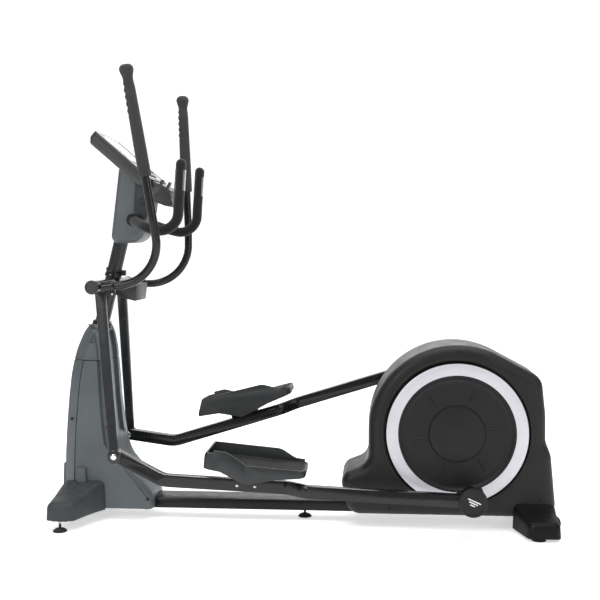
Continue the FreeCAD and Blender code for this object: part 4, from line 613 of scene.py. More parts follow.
class TRAINER_OT_crank_discs(bpy.types.Operator):
    """Dished crank discs with moulded ribs, their silver rings and hub caps"""
    bl_idname = "trainer.crank_discs"
    bl_label = "Crank discs"

    def execute(self, context):
        finishes = make_finishes(context.scene.trainer_colours)
        for name, side in SIDES:
            low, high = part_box("crank_disc_" + name)
            centre = (low + high) / 2
            centre.y = 0.0
            face = max(abs(low.y), abs(high.y))
            back = min(abs(low.y), abs(high.y))
            disc = self.disc(name, side, centre, back, face)
            placed(disc, finishes["disc_plastic"], "crank",
                   ["crank_disc_" + name])
            caps = self.hub_cap(name, side, centre, face)
            placed(caps, finishes["disc_plastic"], "crank",
                   ["disc_hub_caps"])
            ring = self.ring(name, side, centre, face)
            placed(ring, finishes["trim_silver"], "crank",
                   ["disc_trim_rings"])
        return {"FINISHED"}

    def disc(self, name, side, centre, back, face):
        first = math.radians(8.0) + (0.0 if side < 0 else math.radians(30.0))
        turns = rib_angles(first)
        dish = face - 0.0072
        profile = [(0.020, back + 0.001), (0.150, back + 0.001), (0.258, back + 0.001),
                   (0.2640, back + 0.0022), (0.2676, back + 0.0050), (0.2690, back + 0.0090),
                   (0.2690, face - 0.0040), (0.2684, face - 0.0018), (0.2668, face - 0.0004),
                   (0.2645, face), (0.2250, face), (0.2228, face + 0.0001),
                   (0.2216, face + 0.0011), (0.2200, face + 0.0017), (0.2170, face + 0.0018),
                   (0.2145, face + 0.0014), (0.2125, face - 0.0004), (0.2105, face - 0.0026),
                   (0.2075, face - 0.0046), (0.2035, face - 0.0060), (0.1985, face - 0.0068),
                   (0.1930, dish)]
        profile += [(r, dish) for r in np.linspace(0.187, 0.114, 26)]
        profile += [(0.1115, dish), (0.1098, dish - 0.0002), (0.1090, dish - 0.0014),
                    (0.1076, dish - 0.0018), (0.1050, dish - 0.0018), (0.060, dish - 0.0018)]
        rings = []
        for radius, reach in profile:
            ring = []
            for t in turns:
                off = abs(((t - first + math.pi / 6) % (math.pi / 3) - math.pi / 6) * radius)
                lift = 0.0
                if 0.112 < radius < 0.19 and reach == dish:
                    lift = 0.0030 * (1 - smooth_step(off, 0.0016, 0.0052))
                    lift *= smooth_step(radius, 0.117, 0.126)
                    lift *= 1 - smooth_step(radius, 0.168, 0.184)
                ring.append(Vector((centre.x + radius * math.cos(t), side * (reach + lift),
                                    centre.z + radius * math.sin(t))))
            rings.append(ring)
        return skin("crank_disc_face_" + name, rings, angle=32.0)

    def hub_cap(self, name, side, centre, face):
        profile = [(0.0, face - 0.0088), (0.1052, face - 0.0088), (0.1056, face - 0.0070),
                   (0.1054, face - 0.0052), (0.1040, face - 0.0036), (0.1005, face - 0.0026),
                   (0.0960, face - 0.0024), (0.0935, face - 0.0026), (0.0915, face - 0.0022),
                   (0.0700, face - 0.0015), (0.0480, face - 0.0009), (0.0440, face - 0.0004),
                   (0.0400, face + 0.0001), (0.0200, face + 0.0004), (0.0, face + 0.0005)]
        return turned("hub_cap_" + name, centre, outward_axis(side), profile, 144)

    def ring(self, name, side, centre, face):
        """Flat silver band with softened edges, open at the crank pin."""
        top = face + 0.0018
        section = [(0.2232, face + 0.0001), (0.2232, top - 0.0008), (0.2240, top),
                   (0.2450, top + 0.0001), (0.2668, top), (0.2678, top - 0.0008),
                   (0.2678, face + 0.0001)]
        start = pin_angle(side) + math.radians(12.5)
        rings = []
        for t in np.linspace(start, start + math.radians(335.0), 240):
            rings.append([Vector((centre.x + r * math.cos(t), side * y,
                                  centre.z + r * math.sin(t))) for r, y in section])
        return skin("silver_ring_" + name, rings, angle=40.0)


class TRAINER_OT_crank_end_caps(bpy.types.Operator):
    """Round caps over the crank pins, with a plain three-bar mark"""
    bl_idname = "trainer.crank_end_caps"
    bl_label = "Crank end caps"

    def execute(self, context):
        finishes = make_finishes(context.scene.trainer_colours)
        white = silver_paint("White print", (0.80, 0.80, 0.80), 0.5)
        for name, side in SIDES:
            node = "crank_end_cap_" + name
            low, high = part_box(node)
            centre = (low + high) / 2
            centre.y = 0.0
            base = min(abs(low.y), abs(high.y))
            top = max(abs(low.y), abs(high.y))
            radius = (high.x - low.x) / 2
            profile = [(0.0, base), (radius - 0.002, base), (radius, base + 0.0015),
                       (radius, top - 0.0052), (radius - 0.0008, top - 0.0026),
                       (radius - 0.0028, top - 0.0008), (radius - 0.0055, top),
                       (radius - 0.0085, top - 0.0002), (radius - 0.0100, top - 0.0012),
                       (radius - 0.0120, top - 0.0014), (radius - 0.030, top - 0.0009),
                       (0.0, top - 0.0006)]
            cap = turned("crank_pin_cap_" + name, centre, outward_axis(side), profile, 96)
            placed(cap, finishes["disc_plastic"], name + "_rail", [node])
            mark = self.mark(name, side, centre, top - 0.0010)
            placed(mark, white, name + "_rail")
        return {"FINISHED"}

    def mark(self, name, side, centre, height):
        """Three slanted bars of falling length."""
        slant = math.radians(-24.0) * -side
        bars = []
        for offset, length in ((0.0085, 0.052), (0.0, 0.036), (-0.0085, 0.020)):
            outline = []
            for turn in np.linspace(0, math.tau, 24, endpoint=False):
                reach = (length / 2 - 0.002) * (1 if math.cos(turn) > 0 else -1)
                x = reach + 0.002 * math.cos(turn)
                z = offset + 0.002 * math.sin(turn)
                outline.append((centre.x + x * math.cos(slant) - z * math.sin(slant),
                                centre.z + x * math.sin(slant) + z * math.cos(slant)))
            bars.append(extruded("bar", outline, side * height, side * (height + 0.0008)))
        return joined("cap_mark_" + name, bars)


# ---------------------------------------------------------------- swing arms, handles and grips
JOINTS = {joint["name"]: Vector(joint["pos_m"]) for joint in frame["joints"]}
PIVOT = JOINTS["left_swing_pivot"]
HUB_RADIUS = 0.025
HANDLE_ROOT_Y = 0.246
HANDLE_BENDS = (0.060, 0.162, 0.300)
GRIP_START = 0.385


def swing_turn(side):
    """Rest angle of one arm, as a turn about the pivot from hanging straight down."""
    name = "left" if side < 0 else "right"
    reach = JOINTS[name + "_rail_joint"] - PIVOT
    angle = math.atan2(reach.x, -reach.z)
    spin = Matrix.Rotation(-angle, 4, "Y")
    return Matrix.Translation(PIVOT) @ spin @ Matrix.Translation(-PIVOT)


def handle_line(side):
    """Centre line of the handle tube at rest."""
    rows = ((HUB_RADIUS + 0.002, HANDLE_ROOT_Y, -0.004), (0.078, HANDLE_ROOT_Y, -0.004),
            (0.268, 0.254, -0.008), (0.266, 0.286, 0.225), (0.245, 0.322, 0.782))
    turn = swing_turn(side)
    return [turn @ (PIVOT + Vector((x, side * y, z))) for x, y, z in rows]


def grip_line(side):
    low, high = handle_line(side)[-2:]
    axis = (high - low).normalized()
    hanging = 0.225
    start = low + axis * ((GRIP_START - hanging) / math.cos((0.036 / 0.557)))
    return start, high, axis


class TRAINER_OT_handles(bpy.types.Operator):
    """Bent handle tubes, moulded grips, sockets with clamp screws and pivot caps"""
    bl_idname = "trainer.handles"
    bl_label = "Handles and grips"

    def execute(self, context):
        finishes = make_finishes(context.scene.trainer_colours)
        sizes = context.scene.trainer_sizes
        for name, side in SIDES:
            body = name + "_swing"
            path = rounded_path(handle_line(side), HANDLE_BENDS)
            tube = sweep("handle_tube_" + name, path, lambda reach, turn: sizes.handle_radius,
                         segments=48, dome=False)
            placed(tube, finishes["frame_steel"], body, ["handle_arm_" + name])
            grip = self.grip(name, side, sizes.grip_radius)
            placed(grip, finishes["grip_sleeve"], body, ["hand_grip_" + name])
            cap = self.pivot_cap(name, side)
            placed(cap, finishes["console_plastic"], body,
                   ["pivot_cap_" + name])
            clamp = self.clamp(name, side)
            placed(clamp, finishes["frame_steel"], body)
            screws = self.clamp_screws(name, side)
            placed(screws, finishes["bright_steel"], body)
            bolt = self.rail_bolt(name, side)
            placed(bolt, finishes["chrome"], body, ["rail_bolt_" + name])
        return {"FINISHED"}

    def grip(self, name, side, grip_radius):
        """Sleeve that thickens downwards, finger swells on the front and a flared knob."""
        start, high, axis = grip_line(side)
        length = (high - start).length
        total = length + 0.016
        front = (Vector((-1, 0, 0)) - axis * axis.dot(Vector((-1, 0, 0)))).normalized()
        across = axis.cross(front)
        stations = [0.0, 0.0004, 0.0015, 0.004, 0.008]
        stations += list(np.arange(0.012, total - 0.05, 0.004))
        stations += list(np.linspace(total - 0.05, total - 0.0002, 26))
        rings = []
        for reach in stations:
            from_top = total - reach
            base = grip_radius - 0.0022 * smooth_step(reach, 0.05, length - 0.05)
            base -= 0.0035 * (1 - smooth_step(reach, 0.0, 0.0045))
            neck = math.exp(-((from_top - 0.058) / 0.020) ** 2) * 0.0022
            flare = smooth_step(0.052 - from_top, 0.0, 0.034) * 0.0056
            crown = 1.0
            if from_top < 0.020:
                crown = math.sqrt(max(1 - ((0.020 - from_top) / 0.0203) ** 2, 0.0))
                crown = 0.18 + 0.82 * crown if from_top > 0.0004 else 0.02
            ring = []
            for turn in np.linspace(0, math.tau, 56, endpoint=False):
                facing = max(0.0, math.cos(turn)) ** 1.5
                wave = math.sin((from_top - 0.062) / 0.0255 * math.tau)
                reachable = smooth_step(from_top, 0.055, 0.07)
                reachable *= 1 - smooth_step(from_top, 0.17, 0.20)
                swell = 0.0019 * wave * facing * reachable
                rib = 0.00022 * math.sin(turn * 28) * smooth_step(from_top, 0.19, 0.21)
                rib *= smooth_step(reach, 0.004, 0.012)
                radius = (base - neck + flare + swell + rib) * crown
                ring.append(start + axis * reach + front * (radius * math.cos(turn))
                            + across * (radius * math.sin(turn)))
            rings.append(ring)
        return skin("grip_sleeve_" + name, rings, angle=50.0)

    def pivot_cap(self, name, side):
        low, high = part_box("pivot_cap_" + name)
        base = min(abs(low.y), abs(high.y))
        top = max(abs(low.y), abs(high.y))
        radius = (high.x - low.x) / 2
        profile = [(0.0, base), (radius - 0.0015, base), (radius, base + 0.0012),
                   (radius, top - 0.0042), (radius - 0.0012, top - 0.0016),
                   (radius - 0.0035, top - 0.0003), (radius - 0.0060, top),
                   (radius - 0.0072, top - 0.0012), (radius - 0.0085, top - 0.0013),
                   (radius - 0.0097, top - 0.0002), (radius - 0.0150, top), (0.006, top - 0.0001),
                   (0.0045, top - 0.0014), (0.0, top - 0.0016)]
        centre = Vector((PIVOT.x, 0, PIVOT.z))
        return turned("pivot_cap_face_" + name, centre, outward_axis(side), profile, 72)

    def clamp(self, name, side):
        """Socket round the handle's root, with a split collar and two ears."""
        line = handle_line(side)
        along = (line[1] - line[0]).normalized()
        profile = [(0.0165, 0.004), (0.0200, 0.004), (0.0206, 0.006), (0.0206, 0.030),
                   (0.0222, 0.031), (0.0226, 0.033), (0.0226, 0.052), (0.0221, 0.054),
                   (0.0200, 0.055), (0.0165, 0.0552)]
        collar = turned("collar", line[0], along, profile, 64)
        down = self.below(along)
        parts = [collar]
        for shift in (-0.0055, 0.0055):
            middle = line[0] + along * 0.043 + down * 0.028 + Vector((0, shift, 0))
            ear = self.block("ear", middle, along * 0.0095, Vector((0, 0.0032, 0)), down * 0.0085)
            parts.append(ear)
        return bevelled(joined("handle_socket_" + name, parts), 0.0008, 2)

    def below(self, along):
        """Downward direction square to the handle's root."""
        across = along.cross(Vector((0, 1, 0))).normalized()
        return -across if across.z > 0 else across

    def block(self, name, middle, a, b, c):
        """Six-sided block from its middle and three half edges."""
        corners = [middle + a * i + b * j + c * k
                   for k in (-1, 1) for j in (-1, 1) for i in (-1, 1)]
        faces = [(0, 1, 3, 2), (4, 6, 7, 5), (0, 4, 5, 1), (2, 3, 7, 6), (0, 2, 6, 4), (1, 5, 7, 3)]
        return mesh_piece(name, corners, faces)

    def clamp_screws(self, name, side):
        line = handle_line(side)
        along = (line[1] - line[0]).normalized()
        down = self.below(along)
        middle = line[0] + along * 0.043 + down * 0.030
        middle.y -= side * abs(middle.y)
        y = abs(line[0].y)
        profile = [(0.0, y + 0.0086), (0.0046, y + 0.0086), (0.0046, y + 0.0118),
                   (0.0040, y + 0.0126), (0.0024, y + 0.0128), (0.0022, y + 0.0112),
                   (0.0, y + 0.0110)]
        head = turned("head", middle, outward_axis(side), profile, 32)
        profile = [(0.0, y - 0.0145), (0.0052, y - 0.0145), (0.0052, y - 0.0090),
                   (0.0, y - 0.0088)]
        nut = turned("nut", middle, outward_axis(side), profile, 6)
        return joined("socket_screw_" + name, [head, nut])

    def rail_bolt(self, name, side):
        """Bright domed head in front, shank through the joint, nut behind."""
        low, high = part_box("rail_bolt_" + name)
        joint = JOINTS[name + "_rail_joint"]
        centre = Vector((joint.x, 0, joint.z))
        near = min(abs(low.y), abs(high.y))
        far = max(abs(low.y), abs(high.y))
        profile = [(0.0, near), (0.0125, near), (0.0138, near + 0.0012), (0.0138, near + 0.0078),
                   (0.0080, near + 0.0080), (0.0080, far - 0.0062), (0.0118, far - 0.0060),
                   (0.0122, far - 0.0052), (0.0120, far - 0.0034), (0.0108, far - 0.0016),
                   (0.0082, far - 0.0005), (0.0050, far), (0.0044, far - 0.0002),
                   (0.0040, far - 0.0016), (0.0, far - 0.0018)]
        return turned("rail_bolt_head_" + name, centre, outward_axis(side), profile, 48)


# ---------------------------------------------------------------- rounded copies
def softened(name, node, width, segments=2, angle=30.0):
    """A copy of a node's shape with flat faces merged and its sharp edges rounded."""
    shape = bmesh.new()
    shape.from_mesh(frame["nodes"][node].data)
    bmesh.ops.remove_doubles(shape, verts=shape.verts, dist=2e-5)
    bmesh.ops.dissolve_degenerate(shape, edges=shape.edges, dist=1e-5)
    bmesh.ops.dissolve_limit(shape, angle_limit=math.radians(0.8), verts=shape.verts,
                             edges=shape.edges)
    mesh = bpy.data.meshes.new(name)
    shape.to_mesh(mesh)
    shape.free()
    shaded(mesh, angle)
    piece = new_object(name, mesh)
    bevelled(piece, width, segments, angle)
    applied(piece)
    shaded(piece.data, 40.0)
    return piece


SOFTENED = (
    # node, body, edge radius
    ("base_beam", "frame", 0.0030),
    ("front_upright", "frame", 0.0015),
    ("axle_pillar", "frame", 0.0015),
    ("accessory_holder", "frame", 0.0040),
    ("foot_rail_left", "left_rail", 0.0025),
    ("foot_rail_right", "right_rail", 0.0025),
    ("crank_arm_left", "crank", 0.0020),
    ("crank_arm_right", "crank", 0.0020),
    ("pedal_left", "left_rail", 0.0030),
    ("pedal_right", "right_rail", 0.0030),
)


# the mast takes the lightened arm coat: painted highlight
FINISH_OF = {"accessory_holder": "holder_plastic", "base_beam": "beam_steel",
             "mast": "arm_steel"}


class TRAINER_OT_softened(bpy.types.Operator):
    """Beams, arms, rails, pedals and mouldings with rounded edges"""
    bl_idname = "trainer.softened"
    bl_label = "Rounded frame pieces"

    def execute(self, context):
        finishes = make_finishes(context.scene.trainer_colours)
        rounding = context.scene.trainer_sizes.edge_rounding
        for node, body, width in SOFTENED:
            slot = SLOT_OF[node]
            piece = softened(node + "_rounded", node, width * rounding)
            finish = FINISH_OF.get(node, slot)
            placed(piece, finishes[finish], body, [node])
        return {"FINISHED"}


# ---------------------------------------------------------------- column, neck and foot covers
MAST_LEAN = math.radians(13.9)
MAST_RADIUS = 0.029
BAR_RADIUS = 0.016
BAR_CLEARANCE = 0.0003
BAR_EXIT_Y = 0.096
BAR_EXIT_Z = 1.189
GASKET_Z = 0.770


def mast_x(z):
    """Where the leaning mast's centre line is at a height."""
    return PIVOT.x + (z - PIVOT.z) * math.tan(MAST_LEAN)


def bar_exit_x():
    """The fixed bar passes just behind the mast."""
    return mast_x(BAR_EXIT_Z) + (MAST_RADIUS + BAR_RADIUS) / math.cos(MAST_LEAN) + BAR_CLEARANCE


FRONT_X = CAD_BOX[0].x
REAR_X = CAD_BOX[1].x
COLUMN_HALF = 0.112
COLUMN_TOP_HALF = 0.084
TAPER_Z = 0.270
COLUMN_FOOT_Z = 0.043
COLUMN_TOP_Z = 0.776
SEAM_Z = 0.634
PLATE_THICK = 0.010
# column edges in the side view: (level, distance behind the machine's front)
COLUMN_FRONT = ((0.043, 0.020), (0.060, 0.013), (0.110, 0.012), (0.250, 0.0155), (0.380, 0.021),
                (0.480, 0.028), (0.575, 0.038), (0.630, 0.0485), (0.675, 0.061), (0.712, 0.0755),
                (0.744, 0.090), (0.766, 0.105), (0.776, 0.117))
COLUMN_REAR = ((0.043, 0.372), (0.060, 0.375), (0.108, 0.370), (0.150, 0.330), (0.190, 0.292),
               (0.232, 0.257), (0.262, 0.242), (0.300, 0.231), (0.380, 0.220), (0.470, 0.211),
               (0.575, 0.205), (0.675, 0.197), (0.730, 0.188), (0.762, 0.177), (0.776, 0.166))


def eased(table, level):
    """Smooth curve through a table of (level, value)."""
    keys = [row[0] for row in table]
    values = [row[1] for row in table]
    near = np.linspace(level - 0.014, level + 0.014, 9)
    weights = np.bartlett(11)[1:-1]
    return float(np.average(np.interp(near, keys, values), weights=weights))


def column_half(level):
    rise = max(0.0, level - TAPER_Z) / (COLUMN_TOP_Z + 0.02 - TAPER_Z)
    return COLUMN_HALF + (COLUMN_TOP_HALF - COLUMN_HALF) * rise


def column_ring(level, plate, shrink=0.0):
    """One level of the column; plate is how far the side lies inside its panel."""
    front = FRONT_X + eased(COLUMN_FRONT, level) + shrink
    rear = FRONT_X + eased(COLUMN_REAR, level) - shrink
    half = column_half(level) - shrink
    groove = smooth_step(level, 0.325, 0.345) * (1 - smooth_step(level, 0.738, 0.750))
    step = smooth_step(level, 0.270, 0.330) * (1 - smooth_step(level, 0.725, 0.755))
    row = [(front, 0.0), (front, (half - 0.034) * 0.5), (front, half - 0.037),
           (front + 0.0012, half - 0.0335), (front + 0.004, half - 0.031)]
    for share in (0.25, 0.5, 0.75):
        row.append((front + 0.004 + 0.038 * share, half - 0.031 + 0.027 * share))
    row += [(front + 0.042, half - 0.004), (front + 0.0455, half - 0.0022),
            (front + 0.0475, half - max(plate, 0.0012))]
    side_start = front + 0.050
    side_end = rear - 0.050
    for share in np.linspace(0, 1, 9):
        x = side_start + (side_end - side_start) * share
        row.append((x, half - plate - bulge(level, share)))
    row += [(rear - 0.048, half - plate - 0.001 * step),
            (rear - 0.046, half - plate - 0.007 * step),
            (rear - 0.030, half - plate - 0.007 * step),
            (rear - 0.028, half - 0.004 - 0.002 * step),
            (rear - 0.020, half - 0.005), (rear - 0.018, half - 0.006 - 0.004 * step),
            (rear - 0.010, half - 0.009 - 0.004 * step),
            (rear - 0.006, half - 0.013 - 0.003 * step),
            (rear - 0.002, half - 0.021), (rear, half - 0.030), (rear, 0.038),
            (rear - 0.001 * groove, 0.037), (rear - 0.014 * groove, 0.036),
            (rear - 0.014 * groove, 0.0)]
    right = [Vector((x, y, level)) for x, y in row]
    left = [Vector((p.x, -p.y, p.z)) for p in reversed(right[1:-1])]
    return right + left


def bulge(level, share):
    """Depth below the cap's side: a soft swell under a step, and a shallow recess over it."""
    along = smooth_step(share, 0.02, 0.20) * (1 - smooth_step(share, 0.80, 0.98))
    swell = smooth_step(level, 0.642, 0.688) * (1 - smooth_step(level, 0.700, 0.7035))
    hollow = smooth_step(level, 0.700, 0.7035) * (1 - smooth_step(level, 0.712, 0.752))
    return along * (0.0052 * hollow - 0.0012 * swell) if level > SEAM_Z else 0.0


def screw_head(centre, outward, radius=0.0042):
    profile = [(0.0, -0.004), (radius * 1.5, -0.0004), (radius * 1.5, 0.0004),
               (radius * 1.25, 0.0007), (radius * 1.15, -0.0004), (radius, -0.0004),
               (radius * 0.85, 0.0003), (radius * 0.45, 0.0004), (radius * 0.40, -0.0012),
               (0.0, -0.0014)]
    return turned("screw", centre, outward, profile, 20)


def pillow(name, outline, y0, y1, radius, steps=6):
    """An X-Z outline given thickness, with every edge rounded by the radius."""
    points = [Vector((x, 0, z)) for x, z in outline]
    count = len(points)
    area = sum(points[i].x * points[(i + 1) % count].z - points[(i + 1) % count].x * points[i].z
               for i in range(count))
    turn = 1.0 if area > 0 else -1.0
    normals = []
    for i in range(count):
        run = (points[(i + 1) % count] - points[i - 1]).normalized()
        normals.append(Vector((-run.z, 0, run.x)) * turn)
    rings = []
    low, high = min(y0, y1), max(y0, y1)
    for k in range(steps + 1):
        angle = math.pi / 2 * (1 - k / steps)
        inset = radius * (1 - math.cos(angle))
        depth = radius * (1 - math.sin(angle))
        rings.append([p + n * inset + Vector((0, low + depth, 0))
                      for p, n in zip(points, normals)])
    for k in range(steps + 1):
        angle = math.pi / 2 * k / steps
        inset = radius * (1 - math.cos(angle))
        depth = radius * (1 - math.sin(angle))
        rings.append([p + n * inset + Vector((0, high - depth, 0))
                      for p, n in zip(points, normals)])
    return skin(name, rings, angle=35.0)


def rounded_loop(pairs, radii, step=0.004):
    """Closed X-Z outline with rounded corners, as (x, z) pairs."""
    points = [Vector((x, 0, z)) for x, z in pairs]
    middle = (points[0] + points[-1]) / 2
    path = rounded_path([middle] + points + [middle], radii, step)
    path, _ = even_path(path, step)
    return [(p.x, p.z) for p in path[:-1]]


class TRAINER_OT_column(bpy.types.Operator):
    """Column with slanted front corners, side panels, cap, stepped rear corners and screws"""
    bl_idname = "trainer.column"
    bl_label = "Column"

    def execute(self, context):
        finishes = make_finishes(context.scene.trainer_colours)
        slate = finishes["column_plastic"]
        dark = rubber("Parting line", (0.006, 0.006, 0.007), 0.8)
        levels = list(np.arange(0.049, SEAM_Z - 0.002, 0.0078)) + [SEAM_Z - 0.0018]
        rings = [column_ring(COLUMN_FOOT_Z, PLATE_THICK, 0.003),
                 column_ring(COLUMN_FOOT_Z + 0.0015, PLATE_THICK, 0.0008)]
        rings += [column_ring(level, PLATE_THICK) for level in levels]
        rings.append(column_ring(SEAM_Z - 0.0010, PLATE_THICK, 0.0012))
        core = skin("column_core", rings, angle=28.0)
        placed(core, slate, "frame",
               ["column_shell_left", "column_shell_right"])
        cap = self.cap()
        placed(cap, slate, "frame", ["column_top_cap"])
        for name, side in SIDES:
            panel = self.panel(name, side)
            placed(panel, slate, "frame")
            block = self.foot_block(name, side)
            placed(block, slate, "frame")
            screws = [screw_head(Vector((x, side * (column_half(z) + 0.0003), z)),
                                 outward_axis(side))
                      for x, z in ((-0.923, 0.402), (-0.782, 0.369), (-0.620, 0.086))]
            placed(joined("column_screws_" + name, screws), finishes["grip_rubber"], "frame")
        gasket = self.mast_gasket()
        placed(gasket, dark, "frame")
        return {"FINISHED"}

    def cap(self):
        levels = [SEAM_Z + 0.0016] + list(np.arange(SEAM_Z + 0.004, 0.698, 0.004))
        levels += list(np.arange(0.6995, 0.7055, 0.0008))
        levels += list(np.arange(0.708, COLUMN_TOP_Z - 0.011, 0.004))
        rings = [column_ring(SEAM_Z + 0.0008, 0.0, 0.0016)]
        rings += [column_ring(level, 0.0) for level in levels]
        for turn in np.linspace(0.15, 1.0, 7):
            angle = math.pi / 2 * turn
            level = COLUMN_TOP_Z - 0.010 * (1 - math.sin(angle))
            rings.append(column_ring(level, 0.0, 0.010 * (1 - math.cos(angle))))
        return skin("column_cap", rings, angle=28.0)

    def panel(self, name, side):
        """Raised side panel between the slanted corner, the stepped rear and the lower ridge."""
        levels = list(np.linspace(SEAM_Z - 0.0022, 0.300, 30))
        rear = [(FRONT_X + eased(COLUMN_REAR, z) - 0.051, z) for z in levels]
        lower = [(-0.756, 0.256), (-0.6125, 0.0760), (-0.6100, 0.0690), (-0.6100, 0.050),
                 (-0.6135, 0.0465)]
        levels = list(np.linspace(0.0465, SEAM_Z - 0.0022, 44))
        front = [(FRONT_X + eased(COLUMN_FRONT, z) + 0.0485, z) for z in levels]
        outline = rear + lower + front
        count = len(outline)
        flat = bmesh.new()
        verts = [flat.verts.new((x, 0, z)) for x, z in outline]
        flat.faces.new(verts)
        bmesh.ops.inset_region(flat, faces=flat.faces[:], thickness=0.0016)
        inner = [v for v in flat.verts][count:]
        for v in flat.verts:
            out = column_half(v.co.z) + (0.0 if v in inner else -0.0018)
            v.co.y = side * out
        rim = [e for e in flat.edges if len(e.link_faces) == 1]
        wall = bmesh.ops.extrude_edge_only(flat, edges=rim)
        for v in [g for g in wall["geom"] if isinstance(g, bmesh.types.BMVert)]:
            v.co.y = side * (column_half(v.co.z) - PLATE_THICK - 0.001)
        bmesh.ops.bisect_plane(flat, geom=flat.verts[:] + flat.edges[:] + flat.faces[:],
                               plane_co=(0, 0, TAPER_Z), plane_no=(0, 0, 1))
        for v in flat.verts:
            if abs(v.co.z - TAPER_Z) < 1e-5 and abs(abs(v.co.y) - COLUMN_HALF) < 0.004:
                v.co.y = side * COLUMN_HALF if abs(v.co.y) > COLUMN_HALF - 0.0017 else v.co.y
        bmesh.ops.recalc_face_normals(flat, faces=flat.faces)
        mesh = bpy.data.meshes.new("column_panel_" + name)
        flat.to_mesh(mesh)
        flat.free()
        shaded(mesh, 30.0)
        return new_object("column_panel_" + name, mesh)

    def foot_block(self, name, side):
        """Tapered block low on the panel, above the foot."""
        rings = []
        inner = COLUMN_HALF - 0.004
        for y, grow in ((inner, 0.0030), (COLUMN_HALF + 0.009, 0.0005),
                        (COLUMN_HALF + 0.0115, -0.0010), (COLUMN_HALF + 0.0120, -0.0035)):
            loop = rounded_loop([(-0.906 - grow, 0.118 - grow), (-0.863 + grow, 0.118 - grow),
                                 (-0.868 + grow, 0.209 + grow), (-0.899 - grow, 0.209 + grow)],
                                [0.002, 0.002, 0.006, 0.006], 0.003)
            rings.append([Vector((x, side * y, z)) for x, z in loop])
        count = min(len(r) for r in rings)
        rings = [[r[int(i * len(r) / count)] for i in range(count)] for r in rings]
        return skin("column_foot_block_" + name, rings, angle=40.0)

    def mast_gasket(self):
        """Rubber collar where the mast leaves the cap."""
        along = Vector((math.sin(MAST_LEAN), 0, math.cos(MAST_LEAN)))
        foot = Vector((mast_x(GASKET_Z), 0, GASKET_Z))
        profile = [(0.0292, -0.010), (0.0365, -0.010), (0.0375, 0.006), (0.0355, 0.0105),
                   (0.0325, 0.0125), (0.0292, 0.0125)]
        return turned("mast_gasket", foot, along, profile, 64)


class TRAINER_OT_neck(bpy.types.Operator):
    """Shroud round the top of the mast, with a raised rear leaf and a bar collar on each side"""
    bl_idname = "trainer.neck"
    bl_label = "Neck"

    def execute(self, context):
        finishes = make_finishes(context.scene.trainer_colours)
        half = 0.080
        outline = rounded_loop([(-0.7725, 1.0945), (-0.7315, 1.428), (-0.5985, 1.315),
                                (-0.6410, 1.1020)], [0.030, 0.024, 0.024, 0.056])
        body = pillow("neck_shroud", outline, -half, half, 0.022, steps=8)
        placed(body, finishes["column_plastic"], "frame",
               ["neck_shell_left", "neck_shell_right"])
        dark = rubber("Bar collar", (0.008, 0.009, 0.010), 0.8)
        for name, side in SIDES:
            rear = rounded_loop([(-0.6665, 1.352), (-0.6745, 1.222), (-0.6480, 1.190),
                                 (-0.6235, 1.1900), (-0.6060, 1.300)],
                                [0.003, 0.012, 0.012, 0.006, 0.006], 0.003)
            count = len(rear)
            rings = []
            for y, grow in ((half - 0.003, 0.0), (half + 0.0002, 0.0), (half + 0.0010, -0.0012)):
                middle = Vector((sum(p[0] for p in rear) / count, 0,
                                 sum(p[1] for p in rear) / count))
                rings.append([Vector((x, side * y, z))
                              + (Vector((x, 0, z)) - middle).normalized() * grow
                              for x, z in rear])
            leaf = skin("neck_rear_leaf_" + name, rings, angle=35.0)
            placed(leaf, finishes["pedal_plastic"], "frame")
            ring = self.bar_collar(name, side)
            placed(ring, dark, "frame")
        return {"FINISHED"}

    def bar_collar(self, name, side):
        """Flanged rubber collar where the fixed bar leaves the neck."""
        centre = Vector((bar_exit_x(), 0, BAR_EXIT_Z))
        profile = [(0.0162, 0.0745), (0.0235, 0.0745), (0.0250, 0.0800), (0.0248, 0.0825),
                   (0.0215, 0.0845), (0.0205, 0.0905), (0.0190, 0.0920), (0.0162, 0.0920)]
        return turned("bar_collar_" + name, centre, outward_axis(side), profile, 48)


